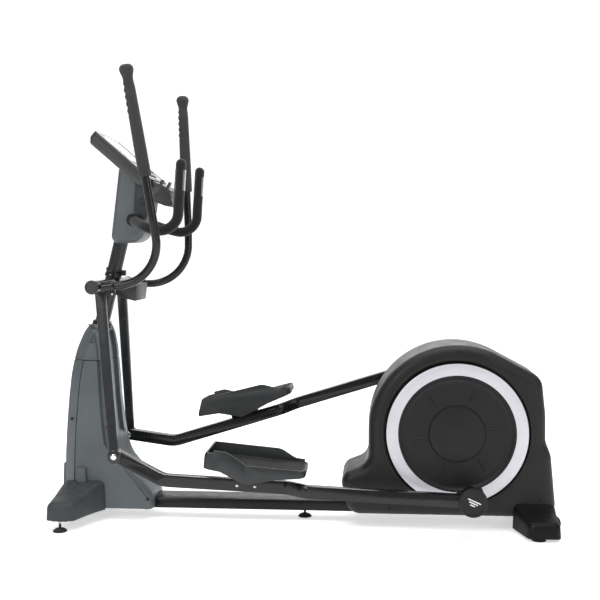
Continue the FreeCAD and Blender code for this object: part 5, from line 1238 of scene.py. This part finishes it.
class TRAINER_OT_foot_covers(bpy.types.Operator):
    """Moulded covers over the ends of both cross tubes"""
    bl_idname = "trainer.foot_covers"
    bl_label = "Foot covers"

    def execute(self, context):
        finishes = make_finishes(context.scene.trainer_colours)
        front = ((0.1123, -0.963, -0.789, 0.157), (0.150, -0.966, -0.812, 0.146),
                 (0.205, -0.969, -0.835, 0.1285), (0.255, -0.973, -0.852, 0.116),
                 (0.300, -0.975, -0.867, 0.106))
        rear = ((0.1503, 0.7995, 0.9625, 0.106), (0.170, 0.805, 0.962, 0.096),
                (0.200, 0.813, 0.9612, 0.087), (0.240, 0.823, 0.9605, 0.079),
                (0.300, 0.8395, 0.959, 0.0675))
        for name, side in SIDES:
            cover = self.cover("front_foot_cover_" + name, side, front, 0.040, 0.024, 0.026)
            # the front covers take the darkened column finish: painted shade
            placed(cover, finishes["foot_shaded_plastic"], "frame",
                   ["front_foot_covers"])
            cover = self.cover("rear_foot_cover_" + name, side, rear, 0.0090, 0.022, 0.026)
            placed(cover, finishes["rear_foot_plastic"], "frame",
                   ["rear_foot_covers"])
        return {"FINISHED"}

    def cover(self, name, side, table, bottom, corner, end_round):
        """Sleeve whose outer end is rounded both across and over the top."""
        keys = [row[0] for row in table]
        last = keys[-1]
        stations = list(np.linspace(keys[0], last - end_round, 22))
        stations += [last - end_round * (1 - math.sin(t))
                     for t in np.linspace(0.12, math.pi / 2, 9)]
        rings = []
        for y in stations:
            x0, x1, top = (float(np.interp(y, keys, [row[k] for row in table])) for k in (1, 2, 3))
            over = max(0.0, (y - (last - end_round)) / end_round)
            pull = end_round * (1 - math.sqrt(max(1 - over * over, 0.0)))
            x0 += pull * 0.9
            x1 -= pull * 0.9
            top -= pull * 0.75
            low = bottom + pull * 0.25
            size = min(corner, (top - low) * 0.48)
            loop = rounded_path([Vector(((x0 + x1) / 2, 0, low)), Vector((x0, 0, low)),
                                 Vector((x0 + 0.004, 0, top)), Vector((x1 - 0.004, 0, top)),
                                 Vector((x1, 0, low)), Vector(((x0 + x1) / 2, 0, low))],
                                [0.005, size, size, 0.005], 0.003)
            loop = self.counted(loop, 72)
            rings.append([Vector((p.x, side * y, p.z)) for p in loop])
        return skin(name, rings, angle=40.0)

    def counted(self, loop, count):
        lengths = [0.0]
        for a, b in zip(loop, loop[1:]):
            lengths.append(lengths[-1] + (b - a).length)
        wanted = np.linspace(0, lengths[-1], count + 1)[:-1]
        columns = [np.interp(wanted, lengths, [p[k] for p in loop]) for k in range(3)]
        return [Vector(p) for p in zip(*columns)]


# ---------------------------------------------------------------- console and fixed grips
CONSOLE_TOP = Vector((PIVOT.x - 0.018, 0, 1.533))
CONSOLE_TILT = math.radians(40.8)
CONSOLE_DOWN = Vector((math.cos(CONSOLE_TILT), 0, -math.sin(CONSOLE_TILT)))
CONSOLE_OUT = Vector((math.sin(CONSOLE_TILT), 0, math.cos(CONSOLE_TILT)))
CONSOLE_LENGTH = 0.290
CONSOLE_HALF = 0.160
CONSOLE_THICK = 0.052
BEZEL = 0.014


def on_console(x, y, z):
    """From the console's own frame, x down the face and z out of it, to the machine."""
    return CONSOLE_TOP + CONSOLE_DOWN * x + Vector((0, y, 0)) + CONSOLE_OUT * z


def console_ring(x0, x1, half, z, corner, middle_y=0.0, arc=8):
    """Rounded rectangle in the console's frame."""
    ring = []
    for cx, cy, start in ((x1 - corner, half - corner, 0), (x0 + corner, half - corner, 90),
                          (x0 + corner, corner - half, 180), (x1 - corner, corner - half, 270)):
        for k in range(arc + 1):
            turn = math.radians(start + 90 * k / arc)
            ring.append(on_console(cx + corner * math.cos(turn),
                                   middle_y + cy + corner * math.sin(turn), z))
    return ring


def console_slab(name, x0, x1, half, corner, levels, middle_y=0.0):
    """Rounded block; each level is (height, how far its outline lies inside)."""
    rings = [console_ring(x0 + inset, x1 - inset, half - inset, z,
                          max(corner - inset, 0.0004), middle_y) for z, inset in levels]
    return skin(name, rings, angle=32.0)


class TRAINER_OT_console(bpy.types.Operator):
    """Display housing with its split line, raised keys, a rail round the screen and rear vents"""
    bl_idname = "trainer.console"
    bl_label = "Console"

    def execute(self, context):
        finishes = make_finishes(context.scene.trainer_colours)
        back = console_slab("console_back", 0, CONSOLE_LENGTH, CONSOLE_HALF, 0.026, (
            (-CONSOLE_THICK, 0.020), (-CONSOLE_THICK + 0.0012, 0.0155),
            (-CONSOLE_THICK + 0.004, 0.0120), (-CONSOLE_THICK + 0.012, 0.0068),
            (-0.034, 0.0018), (-0.030, 0.0004), (-0.026, 0.0), (-BEZEL - 0.0014, 0.0),
            (-BEZEL - 0.0004, 0.0012)))
        placed(back, finishes["console_plastic"], "frame",
               ["console_back_shell"])
        bezel = softened("console_face", "console_bezel", 0.0009)
        placed(bezel, finishes["console_plastic"], "frame",
               ["console_bezel"])
        panel = softened("console_chin", "console_lower_panel", 0.0030)
        placed(panel, finishes["console_plastic"], "frame",
               ["console_lower_panel"])
        placed(joined("console_keys", self.keys()), finishes["grip_rubber"], "frame")
        placed(joined("console_key_rings", self.key_rings()), finishes["trim_silver"], "frame")
        placed(self.screen_frame(), finishes["trim_silver"], "frame")
        # black ribs on the back stand in for the dark insides of speaker slots: painted shade
        placed(joined("console_vents", self.vents()), finishes["grip_rubber"], "frame")
        screws = [screw_head(on_console(x, y, -CONSOLE_THICK - 0.0002),
                             -CONSOLE_OUT, 0.0032)
                  for x in (0.040, 0.250) for y in (-0.125, 0.125)]
        placed(joined("console_screws", screws), finishes["bright_steel"], "frame")
        return {"FINISHED"}

    def keys(self):
        """A row of soft keys and two round ones, standing on the overlay."""
        low = -0.0010
        levels = ((low, 0.0), (low + 0.0012, 0.0), (low + 0.0019, 0.0004), (low + 0.0023, 0.0014),
                  (low + 0.0024, 0.0030))
        keys = []
        for row, size in ((0.206, 0.0065), (0.226, 0.0065)):
            for y in np.linspace(-0.060, 0.060, 6):
                keys.append(console_slab("key", row - size, row + size, 0.0090, 0.0040, levels, y))
        for y in (-0.098, 0.098):
            profile = [(0.0, 0.0), (0.0165, 0.0), (0.0165, 0.0018), (0.0155, 0.0027),
                       (0.0100, 0.0024), (0.0, 0.0020)]
            keys.append(turned("key", on_console(0.216, y, low), CONSOLE_OUT, profile, 48))
        keys.append(console_slab("key", 0.246, 0.262, 0.050, 0.0075, levels))
        return keys

    def key_rings(self):
        profile = [(0.0172, 0.0), (0.0196, 0.0), (0.0196, 0.0012), (0.0190, 0.0018),
                   (0.0178, 0.0018), (0.0172, 0.0012), (0.0172, 0.0)]
        return [hoop("ring", on_console(0.216, y, -0.0010), CONSOLE_OUT, profile[:-1])
                for y in (-0.098, 0.098)]

    def screen_frame(self):
        """Slim bright rail round the display lens."""
        rings = []
        for z, inset in ((-0.0012, 0.0030), (0.0006, 0.0030), (0.0010, 0.0024), (0.0010, 0.0008),
                         (0.0006, 0.0002), (-0.0012, 0.0002)):
            rings.append(console_ring(0.0262 + inset, 0.1758 - inset, 0.1178 - inset, z, 0.0070))
        return skin("console_screen_rail", rings, closed_loop=True, angle=32.0)

    def vents(self):
        """Speaker slots, as low black ribs on the back: painted shade standing in for the slots' dark openings."""
        ribs = []
        low = -CONSOLE_THICK
        for row in range(6):
            x = 0.070 + 0.009 * row
            ribs.append(console_slab("rib", x, x + 0.0045, 0.046, 0.0020, (
                (low + 0.0004, 0.0), (low - 0.0004, 0.0), (low - 0.0008, 0.0006))))
        return ribs


def hoop(name, centre, axis, profile, segments=72):
    """A lathe ring whose profile closes on itself."""
    axis = Vector(axis).normalized()
    across = axis.orthogonal().normalized()
    along = axis.cross(across)
    rings = []
    for turn in np.linspace(0, math.tau, segments, endpoint=False):
        spoke = across * math.cos(turn) + along * math.sin(turn)
        rings.append([Vector(centre) + spoke * radius + axis * reach for radius, reach in profile])
    return skin(name, rings, closed_loop=True, angle=30.0)


# fixed grips: start of the foam, the two bends and the top of the upright part
BAR_Y = 0.200
BAR_LOW = Vector((PIVOT.x + 0.311, BAR_Y, 1.129))
BAR_SLOPE = 0.065
BAR_TOP_Z = 1.396
BAR_ELBOW = Vector((PIVOT.x + 0.189, BAR_Y, 1.156))
BAR_BENDS = (0.070, 0.070)
FOAM_RADIUS = 0.020


class TRAINER_OT_foam_grips(bpy.types.Operator):
    """Foam sleeves on the fixed handlebar, with a soft lip at one end and a round top"""
    bl_idname = "trainer.foam_grips"
    bl_label = "Foam grips"

    def execute(self, context):
        finishes = make_finishes(context.scene.trainer_colours)
        foam_radius = context.scene.trainer_sizes.foam_radius
        for name, side in SIDES:
            line = self.line(side)
            path, reach = even_path(rounded_path(line, BAR_BENDS), 0.003)
            total = reach[-1]
            sleeve = sweep("foam_sleeve_" + name, path,
                           lambda along, turn: self.radius(along, total, turn, foam_radius),
                           48, dome=False, angle=60.0)
            placed(sleeve, finishes["foam"], "frame", ["handlebar_foam"])
        return {"FINISHED"}

    def line(self, side):
        start = Vector((bar_exit_x(), BAR_EXIT_Y, BAR_EXIT_Z))
        ahead = (BAR_ELBOW - start).normalized()
        top = BAR_LOW + Vector((BAR_SLOPE, 0, 1)) * (BAR_TOP_Z - BAR_LOW.z)
        up = (top - BAR_LOW).normalized()
        points = [start + ahead * 0.026, BAR_ELBOW, BAR_LOW, top + up * FOAM_RADIUS]
        return [Vector((p.x, side * p.y, p.z)) for p in points]

    def radius(self, along, total, turn, foam_radius):
        """Soft lips at the start, a round end, and a slight waviness of the foam."""
        radius = foam_radius
        radius -= 0.0035 * (1 - smooth_step(along, 0.0, 0.004))
        radius += 0.0003 * math.sin(along * 62.0 + 2 * math.sin(turn)) - 0.0003
        left = total - along
        if left < FOAM_RADIUS:
            radius *= math.sqrt(max(1 - ((FOAM_RADIUS - left) / FOAM_RADIUS) ** 2, 0.0004))
        return radius


# ---------------------------------------------------------------- rear housing
CRANK = JOINTS["crank_spin"]
HOUSING_RADIUS = 0.337
HOUSING_HALF = 0.150
HOUSING_RIM = 0.042
WELL_RADIUS = 0.278


def on_rim(angle, radius, side):
    """Place and outward direction on the housing's rounded rim."""
    across = max(0.0, radius - (HOUSING_RADIUS - HOUSING_RIM))
    tilt = math.asin(across / HOUSING_RIM)
    spoke = Vector((math.cos(angle), 0, math.sin(angle)))
    y = side * (HOUSING_HALF - HOUSING_RIM * (1 - math.cos(tilt)))
    out = Vector((0, side * math.cos(tilt), 0)) + spoke * math.sin(tilt)
    return Vector((CRANK.x, y, CRANK.z)) + spoke * radius, out


class TRAINER_OT_housing(bpy.types.Operator):
    """Rolled lip round each disc well, sunk screws and a low panel on each side"""
    bl_idname = "trainer.housing"
    bl_label = "Rear housing"

    def execute(self, context):
        finishes = make_finishes(context.scene.trainer_colours)
        for name, side in SIDES:
            rolled = self.lip(name, side)
            placed(rolled, finishes["housing_plastic"], "frame")
            placed(joined("housing_screws_" + name, self.screws(side)), finishes["grip_rubber"],
                   "frame")
            placed(self.crease(name, side), finishes["housing_plastic"], "frame")
        return {"FINISHED"}

    def lip(self, name, side):
        """Rolled edge round the disc's well."""
        profile = [(WELL_RADIUS + 0.0006, HOUSING_HALF - 0.001),
                   (WELL_RADIUS + 0.0006, HOUSING_HALF + 0.0020),
                   (WELL_RADIUS + 0.0018, HOUSING_HALF + 0.0037),
                   (WELL_RADIUS + 0.0045, HOUSING_HALF + 0.0046),
                   (WELL_RADIUS + 0.0075, HOUSING_HALF + 0.0040),
                   (WELL_RADIUS + 0.0102, HOUSING_HALF + 0.0022),
                   (WELL_RADIUS + 0.0118, HOUSING_HALF - 0.001)]
        return hoop("housing_lip_" + name, Vector((CRANK.x, 0, CRANK.z)), outward_axis(side),
                    profile, 160)

    def screws(self, side):
        """Countersunk screws round the rim and low on the side."""
        heads = []
        for degrees, radius in ((168, 0.316), (112, 0.314), (63, 0.314), (24, 0.318),
                                (142, 0.316), (88, 0.315)):
            place, out = on_rim(math.radians(degrees), radius, side)
            heads.append(screw_head(place + out * 0.0004, out, 0.0036))
        for x, z in ((0.205, 0.112), (0.330, 0.078), (0.902, 0.122)):
            heads.append(screw_head(Vector((x, side * (HOUSING_HALF + 0.0003), z)),
                                    outward_axis(side), 0.0036))
        return heads

    def crease(self, name, side):
        """Raised panel with soft edges low in front of the disc."""
        outline = rounded_loop([(0.262, 0.115), (0.247, 0.210), (0.282, 0.252), (0.306, 0.226),
                                (0.372, 0.142), (0.400, 0.115)],
                               [0.010, 0.016, 0.012, 0.020, 0.016, 0.008], 0.004)
        count = len(outline)
        middle = Vector((sum(p[0] for p in outline) / count, 0,
                         sum(p[1] for p in outline) / count))
        rings = []
        for y, inward in ((HOUSING_HALF - 0.001, 0.0), (HOUSING_HALF + 0.0002, 0.0),
                          (HOUSING_HALF + 0.0016, 0.0012), (HOUSING_HALF + 0.0024, 0.0038),
                          (HOUSING_HALF + 0.0026, 0.0080)):
            ring = []
            for x, z in outline:
                point = Vector((x, 0, z))
                point += (middle - point).normalized() * inward
                ring.append(Vector((point.x, side * y, point.z)))
            rings.append(ring)
        return skin("housing_panel_" + name, rings, angle=35.0)


# ---------------------------------------------------------------- swing arms, wheels and feet
def bar_ring(middle, across, outward, half_a, half_b, corner, arc=5):
    """Rounded rectangle round a point, in the plane of two directions."""
    ring = []
    for a, b, start in ((1, 1, 0), (-1, 1, 90), (-1, -1, 180), (1, -1, 270)):
        for k in range(arc + 1):
            turn = math.radians(start + 90 * k / arc)
            ring.append(middle + across * (a * (half_a - corner) + corner * math.cos(turn))
                        + outward * (b * (half_b - corner) + corner * math.sin(turn)))
    return ring


# level, distance out, half length and half width, each at the hub and at the bolt
BLADE_ENDS = ((-0.004, -0.640), (0.165, 0.260), (0.020, 0.018), (0.013, 0.010))
BOSS_TOP = -0.596
BOSS_INNER_Y = 0.2501


class TRAINER_OT_swing_arms(bpy.types.Operator):
    """Hub tubes, tapered lower arms with rounded edges, weld beads and bolt bosses"""
    bl_idname = "trainer.swing_arms"
    bl_label = "Swing arms"

    def execute(self, context):
        finishes = make_finishes(context.scene.trainer_colours)
        for name, side in SIDES:
            arm = joined("swing_arm_shape_" + name, [self.blade(side), self.hub(side),
                                                     self.boss(name, side), self.weld(side)])
            # the swing arms take the lightened arm coat: painted highlight
            placed(arm, finishes["arm_steel"], name + "_swing",
                   ["swing_arm_" + name])
        return {"FINISHED"}

    def blade(self, side):
        """Flat tube that tapers and leans outwards on its way down."""
        turn = swing_turn(side)
        rings = []
        for share in np.linspace(0.0, 1.0, 40):
            level, y, half_x, half_y = (top + (bottom - top) * share
                                        for top, bottom in BLADE_ENDS)
            middle = PIVOT + Vector((0, side * y, level))
            ring = bar_ring(middle, Vector((1, 0, 0)), Vector((0, side, 0)), half_x, half_y, 0.006)
            if level < BOSS_TOP:
                ring = [Vector((p.x, side * max(side * p.y, BOSS_INNER_Y), p.z)) for p in ring]
            rings.append([turn @ p for p in ring])
        return skin("blade", rings, angle=30.0)

    def hub(self, side):
        profile = [(0.0196, 0.0640), (0.0236, 0.0620), (0.0244, 0.0622), (0.0250, 0.0630),
                   (0.0250, 0.2710), (0.0242, 0.2718), (0.0196, 0.2718)]
        return turned("hub", Vector((PIVOT.x, 0, PIVOT.z)), outward_axis(side), profile, 72)

    def boss(self, name, side):
        joint = JOINTS[name + "_rail_joint"]
        profile = [(0.0, 0.2502), (0.0256, 0.2502), (0.0265, 0.2506), (0.0270, 0.2515),
                   (0.0270, 0.2685), (0.0265, 0.2694), (0.0256, 0.2700), (0.0, 0.2700)]
        return turned("boss", Vector((joint.x, 0, joint.z)), outward_axis(side), profile, 72)

    def weld(self, side):
        """Rippled bead where the flat tube meets the hub."""
        turn = swing_turn(side)
        loop = bar_ring(PIVOT + Vector((0, side * 0.1683, -0.0205)), Vector((1, 0, 0)),
                        Vector((0, side, 0)), 0.0202, 0.0135, 0.0062, 9)
        path = []
        for p in loop + loop[:1]:
            reach = p.x - PIVOT.x
            drop = math.sqrt(max(HUB_RADIUS ** 2 - reach ** 2, 0.0))
            path.append(turn @ Vector((p.x, p.y, PIVOT.z - drop)))
        return sweep("bead", path, lambda along, angle: 0.0024 + 0.0003 * math.sin(along * 1600.0),
                     10, dome=False, angle=60.0)


CLAMP_Z = 0.962
WHEEL_HALF = 0.011
FOOT_INSET = 0.056          # front levelling feet behind the front edge
REAR_FOOT_INSET = 0.095     # rear levelling feet ahead of the rear edge
BEAM_BOTTOM = 0.040
REAR_TUBE_BOTTOM = 0.022
THREAD_PITCH = 0.0016
PEDAL_BOLT_GAP = 0.068
RAIL_Y = 0.230
RAIL_HEIGHT = 0.045
FRONT_FOOT_Y = 0.285
REAR_FOOT_Y = 0.267
MIDDLE_FOOT_X = -0.004
PEDAL_BOLTS_AHEAD = 0.030


class TRAINER_OT_wheels_and_feet(bpy.types.Operator):
    """Grooved transport wheels, threaded levelling feet, mast clamp and pedal bolts"""
    bl_idname = "trainer.wheels_and_feet"
    bl_label = "Wheels and feet"

    def execute(self, context):
        finishes = make_finishes(context.scene.trainer_colours)
        for name, side in SIDES:
            wheel = self.wheel(name, side)
            placed(wheel, finishes["grip_rubber"], name + "_transport_wheel",
                   ["transport_wheel_" + name])
        feet = joined("levelling_foot_set", self.feet())
        placed(feet, finishes["grip_rubber"], "frame", ["levelling_feet"])
        placed(joined("foot_lock_nuts", self.nuts()), finishes["bright_steel"], "frame")
        placed(joined("mast_clamp_rings", self.clamp()), finishes["frame_steel"], "frame",
               ["mast_collar"])
        for name, side in SIDES:
            placed(joined("pedal_bolts_" + name, self.pedal_bolts(name, side)),
                   finishes["bright_steel"], name + "_rail")
        return {"FINISHED"}

    def wheel(self, name, side):
        axle = JOINTS[name + "_transport_wheel_spin"]
        middle = abs(axle.y)
        low = middle - WHEEL_HALF
        high = middle + WHEEL_HALF
        profile = [(0.0051, low), (0.0110, low), (0.0116, low + 0.0006), (0.0120, low + 0.0028),
                   (0.0228, low + 0.0028), (0.0234, low + 0.0004), (0.0240, low), (0.0272, low),
                   (0.0292, low + 0.0012), (0.0306, low + 0.0034), (0.0310, low + 0.0062),
                   (0.0310, middle - 0.0020), (0.0300, middle - 0.0014), (0.0300, middle + 0.0014),
                   (0.0310, middle + 0.0020), (0.0310, high - 0.0062), (0.0306, high - 0.0034),
                   (0.0292, high - 0.0012), (0.0272, high), (0.0240, high),
                   (0.0234, high - 0.0004), (0.0228, high - 0.0028), (0.0120, high - 0.0028),
                   (0.0116, high - 0.0006), (0.0110, high), (0.0051, high)]
        return hoop("transport_tyre_" + name, Vector((axle.x, 0, axle.z)), outward_axis(side),
                    profile, 72)

    def places(self):
        """Centre and tube height of each levelling foot."""
        front_x = FRONT_X + FOOT_INSET
        rear_x = REAR_X - REAR_FOOT_INSET
        return ((front_x, -FRONT_FOOT_Y, BEAM_BOTTOM), (front_x, FRONT_FOOT_Y, BEAM_BOTTOM),
                (rear_x, -REAR_FOOT_Y, REAR_TUBE_BOTTOM), (rear_x, REAR_FOOT_Y, REAR_TUBE_BOTTOM),
                (MIDDLE_FOOT_X, 0.0, BEAM_BOTTOM))

    def feet(self):
        feet = []
        for x, y, height in self.places():
            profile = [(0.0, 0.0), (0.0240, 0.0), (0.0262, 0.0006), (0.0270, 0.0020),
                       (0.0270, 0.0036), (0.0262, 0.0050), (0.0225, 0.0085), (0.0185, 0.0118),
                       (0.0120, 0.0136), (0.0085, 0.0140), (0.0080, 0.0150)]
            reach = 0.0158
            while reach < height + 0.010:
                profile += [(0.0050, reach), (0.0044, reach + THREAD_PITCH / 2)]
                reach += THREAD_PITCH
            profile.append((0.0, reach))
            feet.append(turned("foot", Vector((x, y, 0)), Vector((0, 0, 1)), profile, 40))
        return feet

    def nuts(self):
        nuts = []
        for x, y, height in self.places():
            if height < BEAM_BOTTOM:
                continue
            profile = [(0.0052, height - 0.0068), (0.0082, height - 0.0068),
                       (0.0092, height - 0.0058), (0.0092, height - 0.0014),
                       (0.0082, height - 0.0004), (0.0052, height - 0.0004)]
            nuts.append(hoop("nut", Vector((x, y, 0)), Vector((0, 0, 1)), profile, 6))
        return nuts

    def clamp(self):
        """Two clamp bands round the mast, with a split lug behind."""
        along = Vector((math.sin(MAST_LEAN), 0, math.cos(MAST_LEAN)))
        foot = Vector((mast_x(CLAMP_Z), 0, CLAMP_Z))
        profile = [(0.0292, 0.0), (0.0330, 0.0), (0.0340, 0.0010), (0.0340, 0.0120),
                   (0.0332, 0.0132), (0.0315, 0.0138), (0.0315, 0.0202), (0.0332, 0.0208),
                   (0.0340, 0.0220), (0.0340, 0.0330), (0.0330, 0.0342), (0.0292, 0.0342)]
        band = hoop("band", foot, along, profile, 96)
        middle = foot + along * 0.017
        parts = [band]
        for y in (-0.0062, 0.0062):
            rings = [bar_ring(middle + Vector((reach, y, 0)), Vector((0, 1, 0)), Vector((0, 0, 1)),
                              0.0042 - inset, 0.0112 - inset, 0.0016)
                     for reach, inset in ((0.028, 0.0), (0.0480, 0.0), (0.0492, 0.0010))]
            parts.append(skin("ear", rings, angle=30.0))
        return parts

    def pedal_bolts(self, name, side):
        """Two bolt heads on the rail's outer face under the pedal's keel."""
        low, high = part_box("pedal_" + name)
        middle = (low.x + high.x) / 2 - PEDAL_BOLTS_AHEAD
        heads = []
        for shift in (-PEDAL_BOLT_GAP / 2, PEDAL_BOLT_GAP / 2):
            x = middle + shift
            z = self.rail_middle(name, side, x)
            profile = [(0.0, 0.2484), (0.0062, 0.2484), (0.0062, 0.2496), (0.0048, 0.2510),
                       (0.0046, 0.2532), (0.0038, 0.2540), (0.0, 0.2542)]
            heads.append(turned("bolt", Vector((x, 0, z)), outward_axis(side), profile, 24))
        return heads

    def rail_middle(self, name, side, x):
        """Height of the rail's middle at x, measured up from its underside."""
        shape = bmesh.new()
        shape.from_mesh(frame["nodes"]["foot_rail_" + name].data)
        rail = BVHTree.FromBMesh(shape)
        shape.free()
        underside = rail.ray_cast(Vector((x, side * RAIL_Y, -1.0)), Vector((0, 0, 1)))[0]
        return underside.z + RAIL_HEIGHT / 2


# ---------------------------------------------------------------- stage
FLOOR_GLOW = 0.55
WORLD_GLOW = 0.30
CAMERA_PLACE = (0.2738, -3.9356, 1.0759)
CAMERA_YAW = -0.075537
CAMERA_PITCH = 0.0517
CAMERA_LENS = 59.553
SENSOR_WIDTH = 36.0
LAMPS = (
    # name, place, aim, size, power
    ("Overhead", (0.2, -0.6, 4.4), (0, 0, 0.4), (5.0, 3.4), 150.0),
    ("Front key", (-2.8, -4.4, 3.2), (-0.2, 0, 0.7), (2.4, 2.4), 90.0),
    ("Rear fill", (3.6, -2.8, 2.2), (0.3, 0, 0.6), (1.6, 2.4), 35.0),
    ("Back rim", (0.0, 3.6, 3.2), (0, 0, 0.7), (4.0, 1.6), 90.0),
)


class TRAINER_OT_stage(bpy.types.Operator):
    """Pale floor, soft studio light and the camera"""
    bl_idname = "trainer.stage"
    bl_label = "Stage"

    def execute(self, context):
        self.floor(context.scene.trainer_colours.floor, CAD_BOX[0].z)
        self.lights()
        self.camera(context)
        context.scene.view_settings.view_transform = "Standard"
        return {"FINISHED"}

    def floor(self, colour, height):
        """A floor that curves up into a backdrop far behind the machine."""
        path = rounded_path([(0, -9, height), (0, 9, height), (0, 9, 9)], [4.0], 0.25)
        rings = [[Vector((x, p.y, p.z)) for p in path] for x in (-14.0, 14.0)]
        count = len(path)
        faces = [(i, i + 1, count + i + 1, count + i) for i in range(count - 1)]
        sheet = mesh_piece("studio_floor", rings[0] + rings[1], faces)
        material, tree, shader, place = new_finish("Studio floor", 0.55, specular=0.3)
        soil = cloud(tree, place, 1.4, 6.0)
        tint = mixed(tree, ranged(tree, soil, 0.0, 1.0), scaled(colour, 0.985), colour)
        tree.links.new(tint, shader.inputs["Base Color"])
        shader.inputs["Emission Color"].default_value = (1.0, 1.0, 1.0, 1.0)
        shader.inputs["Emission Strength"].default_value = FLOOR_GLOW
        sheet.data.materials.append(material)

    def lights(self):
        world = bpy.data.worlds.new("Studio light")
        world.use_nodes = True
        back = world.node_tree.nodes["Background"]
        back.inputs["Color"].default_value = (1.0, 1.0, 1.0, 1.0)
        back.inputs["Strength"].default_value = WORLD_GLOW
        bpy.context.scene.world = world
        for name, spot, aim, size, power in LAMPS:
            data = bpy.data.lights.new(name, "AREA")
            data.shape = "RECTANGLE"
            data.size, data.size_y = size
            data.energy = power
            lamp = bpy.data.objects.new(name, data)
            lamp.location = spot
            lamp.rotation_euler = (Vector(aim) - Vector(spot)).to_track_quat("-Z", "Y").to_euler()
            bpy.context.scene.collection.objects.link(lamp)

    def camera(self, context):
        data = bpy.data.cameras.new("Studio camera")
        data.sensor_width = SENSOR_WIDTH
        data.lens = CAMERA_LENS
        camera = bpy.data.objects.new("Studio camera", data)
        camera.location = CAMERA_PLACE
        level = math.cos(CAMERA_PITCH)
        ahead = Vector((math.sin(CAMERA_YAW) * level, math.cos(CAMERA_YAW) * level,
                        -math.sin(CAMERA_PITCH)))
        camera.rotation_euler = ahead.to_track_quat("-Z", "Y").to_euler()
        context.scene.collection.objects.link(camera)
        context.scene.camera = camera


class TRAINER_OT_frame_finish(bpy.types.Operator):
    """Gives every carried-over node the finish of its material slot, or its own finish"""
    bl_idname = "trainer.frame_finish"
    bl_label = "Frame finishes"

    def execute(self, context):
        finishes = make_finishes(context.scene.trainer_colours)
        for name, node in frame["nodes"].items():
            node.data.materials.clear()
            node.data.materials.append(finishes[FINISH_OF.get(name, SLOT_OF[name])])
        return {"FINISHED"}


# ---------------------------------------------------------------- panel and run
PIECES = (
    TRAINER_OT_frame_finish,
    TRAINER_OT_crank_discs,
    TRAINER_OT_crank_end_caps,
    TRAINER_OT_handles,
    TRAINER_OT_softened,
    TRAINER_OT_column,
    TRAINER_OT_neck,
    TRAINER_OT_foot_covers,
    TRAINER_OT_console,
    TRAINER_OT_foam_grips,
    TRAINER_OT_housing,
    TRAINER_OT_swing_arms,
    TRAINER_OT_wheels_and_feet,
)


class TRAINER_PT_pieces(bpy.types.Panel):
    """Lists the pieces and their colours"""
    bl_idname = "TRAINER_PT_pieces"
    bl_label = "Elliptical trainer"
    bl_space_type = "VIEW_3D"
    bl_region_type = "UI"
    bl_category = "Trainer"

    def draw(self, context):
        column = self.layout.column(align=True)
        for group in (context.scene.trainer_sizes, context.scene.trainer_colours):
            for name in group.__annotations__:
                column.prop(group, name)
        for piece in (*PIECES, TRAINER_OT_stage):
            column.operator(piece.bl_idname)


CLASSES = (TrainerSizes, TrainerColours, *PIECES, TRAINER_OT_stage, TRAINER_PT_pieces)


def register():
    for item in CLASSES:
        bpy.utils.register_class(item)
    bpy.types.Scene.trainer_sizes = bpy.props.PointerProperty(type=TrainerSizes)
    bpy.types.Scene.trainer_colours = bpy.props.PointerProperty(type=TrainerColours)


def unregister():
    del bpy.types.Scene.trainer_colours
    del bpy.types.Scene.trainer_sizes
    for item in reversed(CLASSES):
        bpy.utils.unregister_class(item)


def main():
    register()
    for piece in (*PIECES, TRAINER_OT_stage):
        group, call = piece.bl_idname.split(".")
        getattr(getattr(bpy.ops, group), call)()


if __name__ == "__main__":
    main()
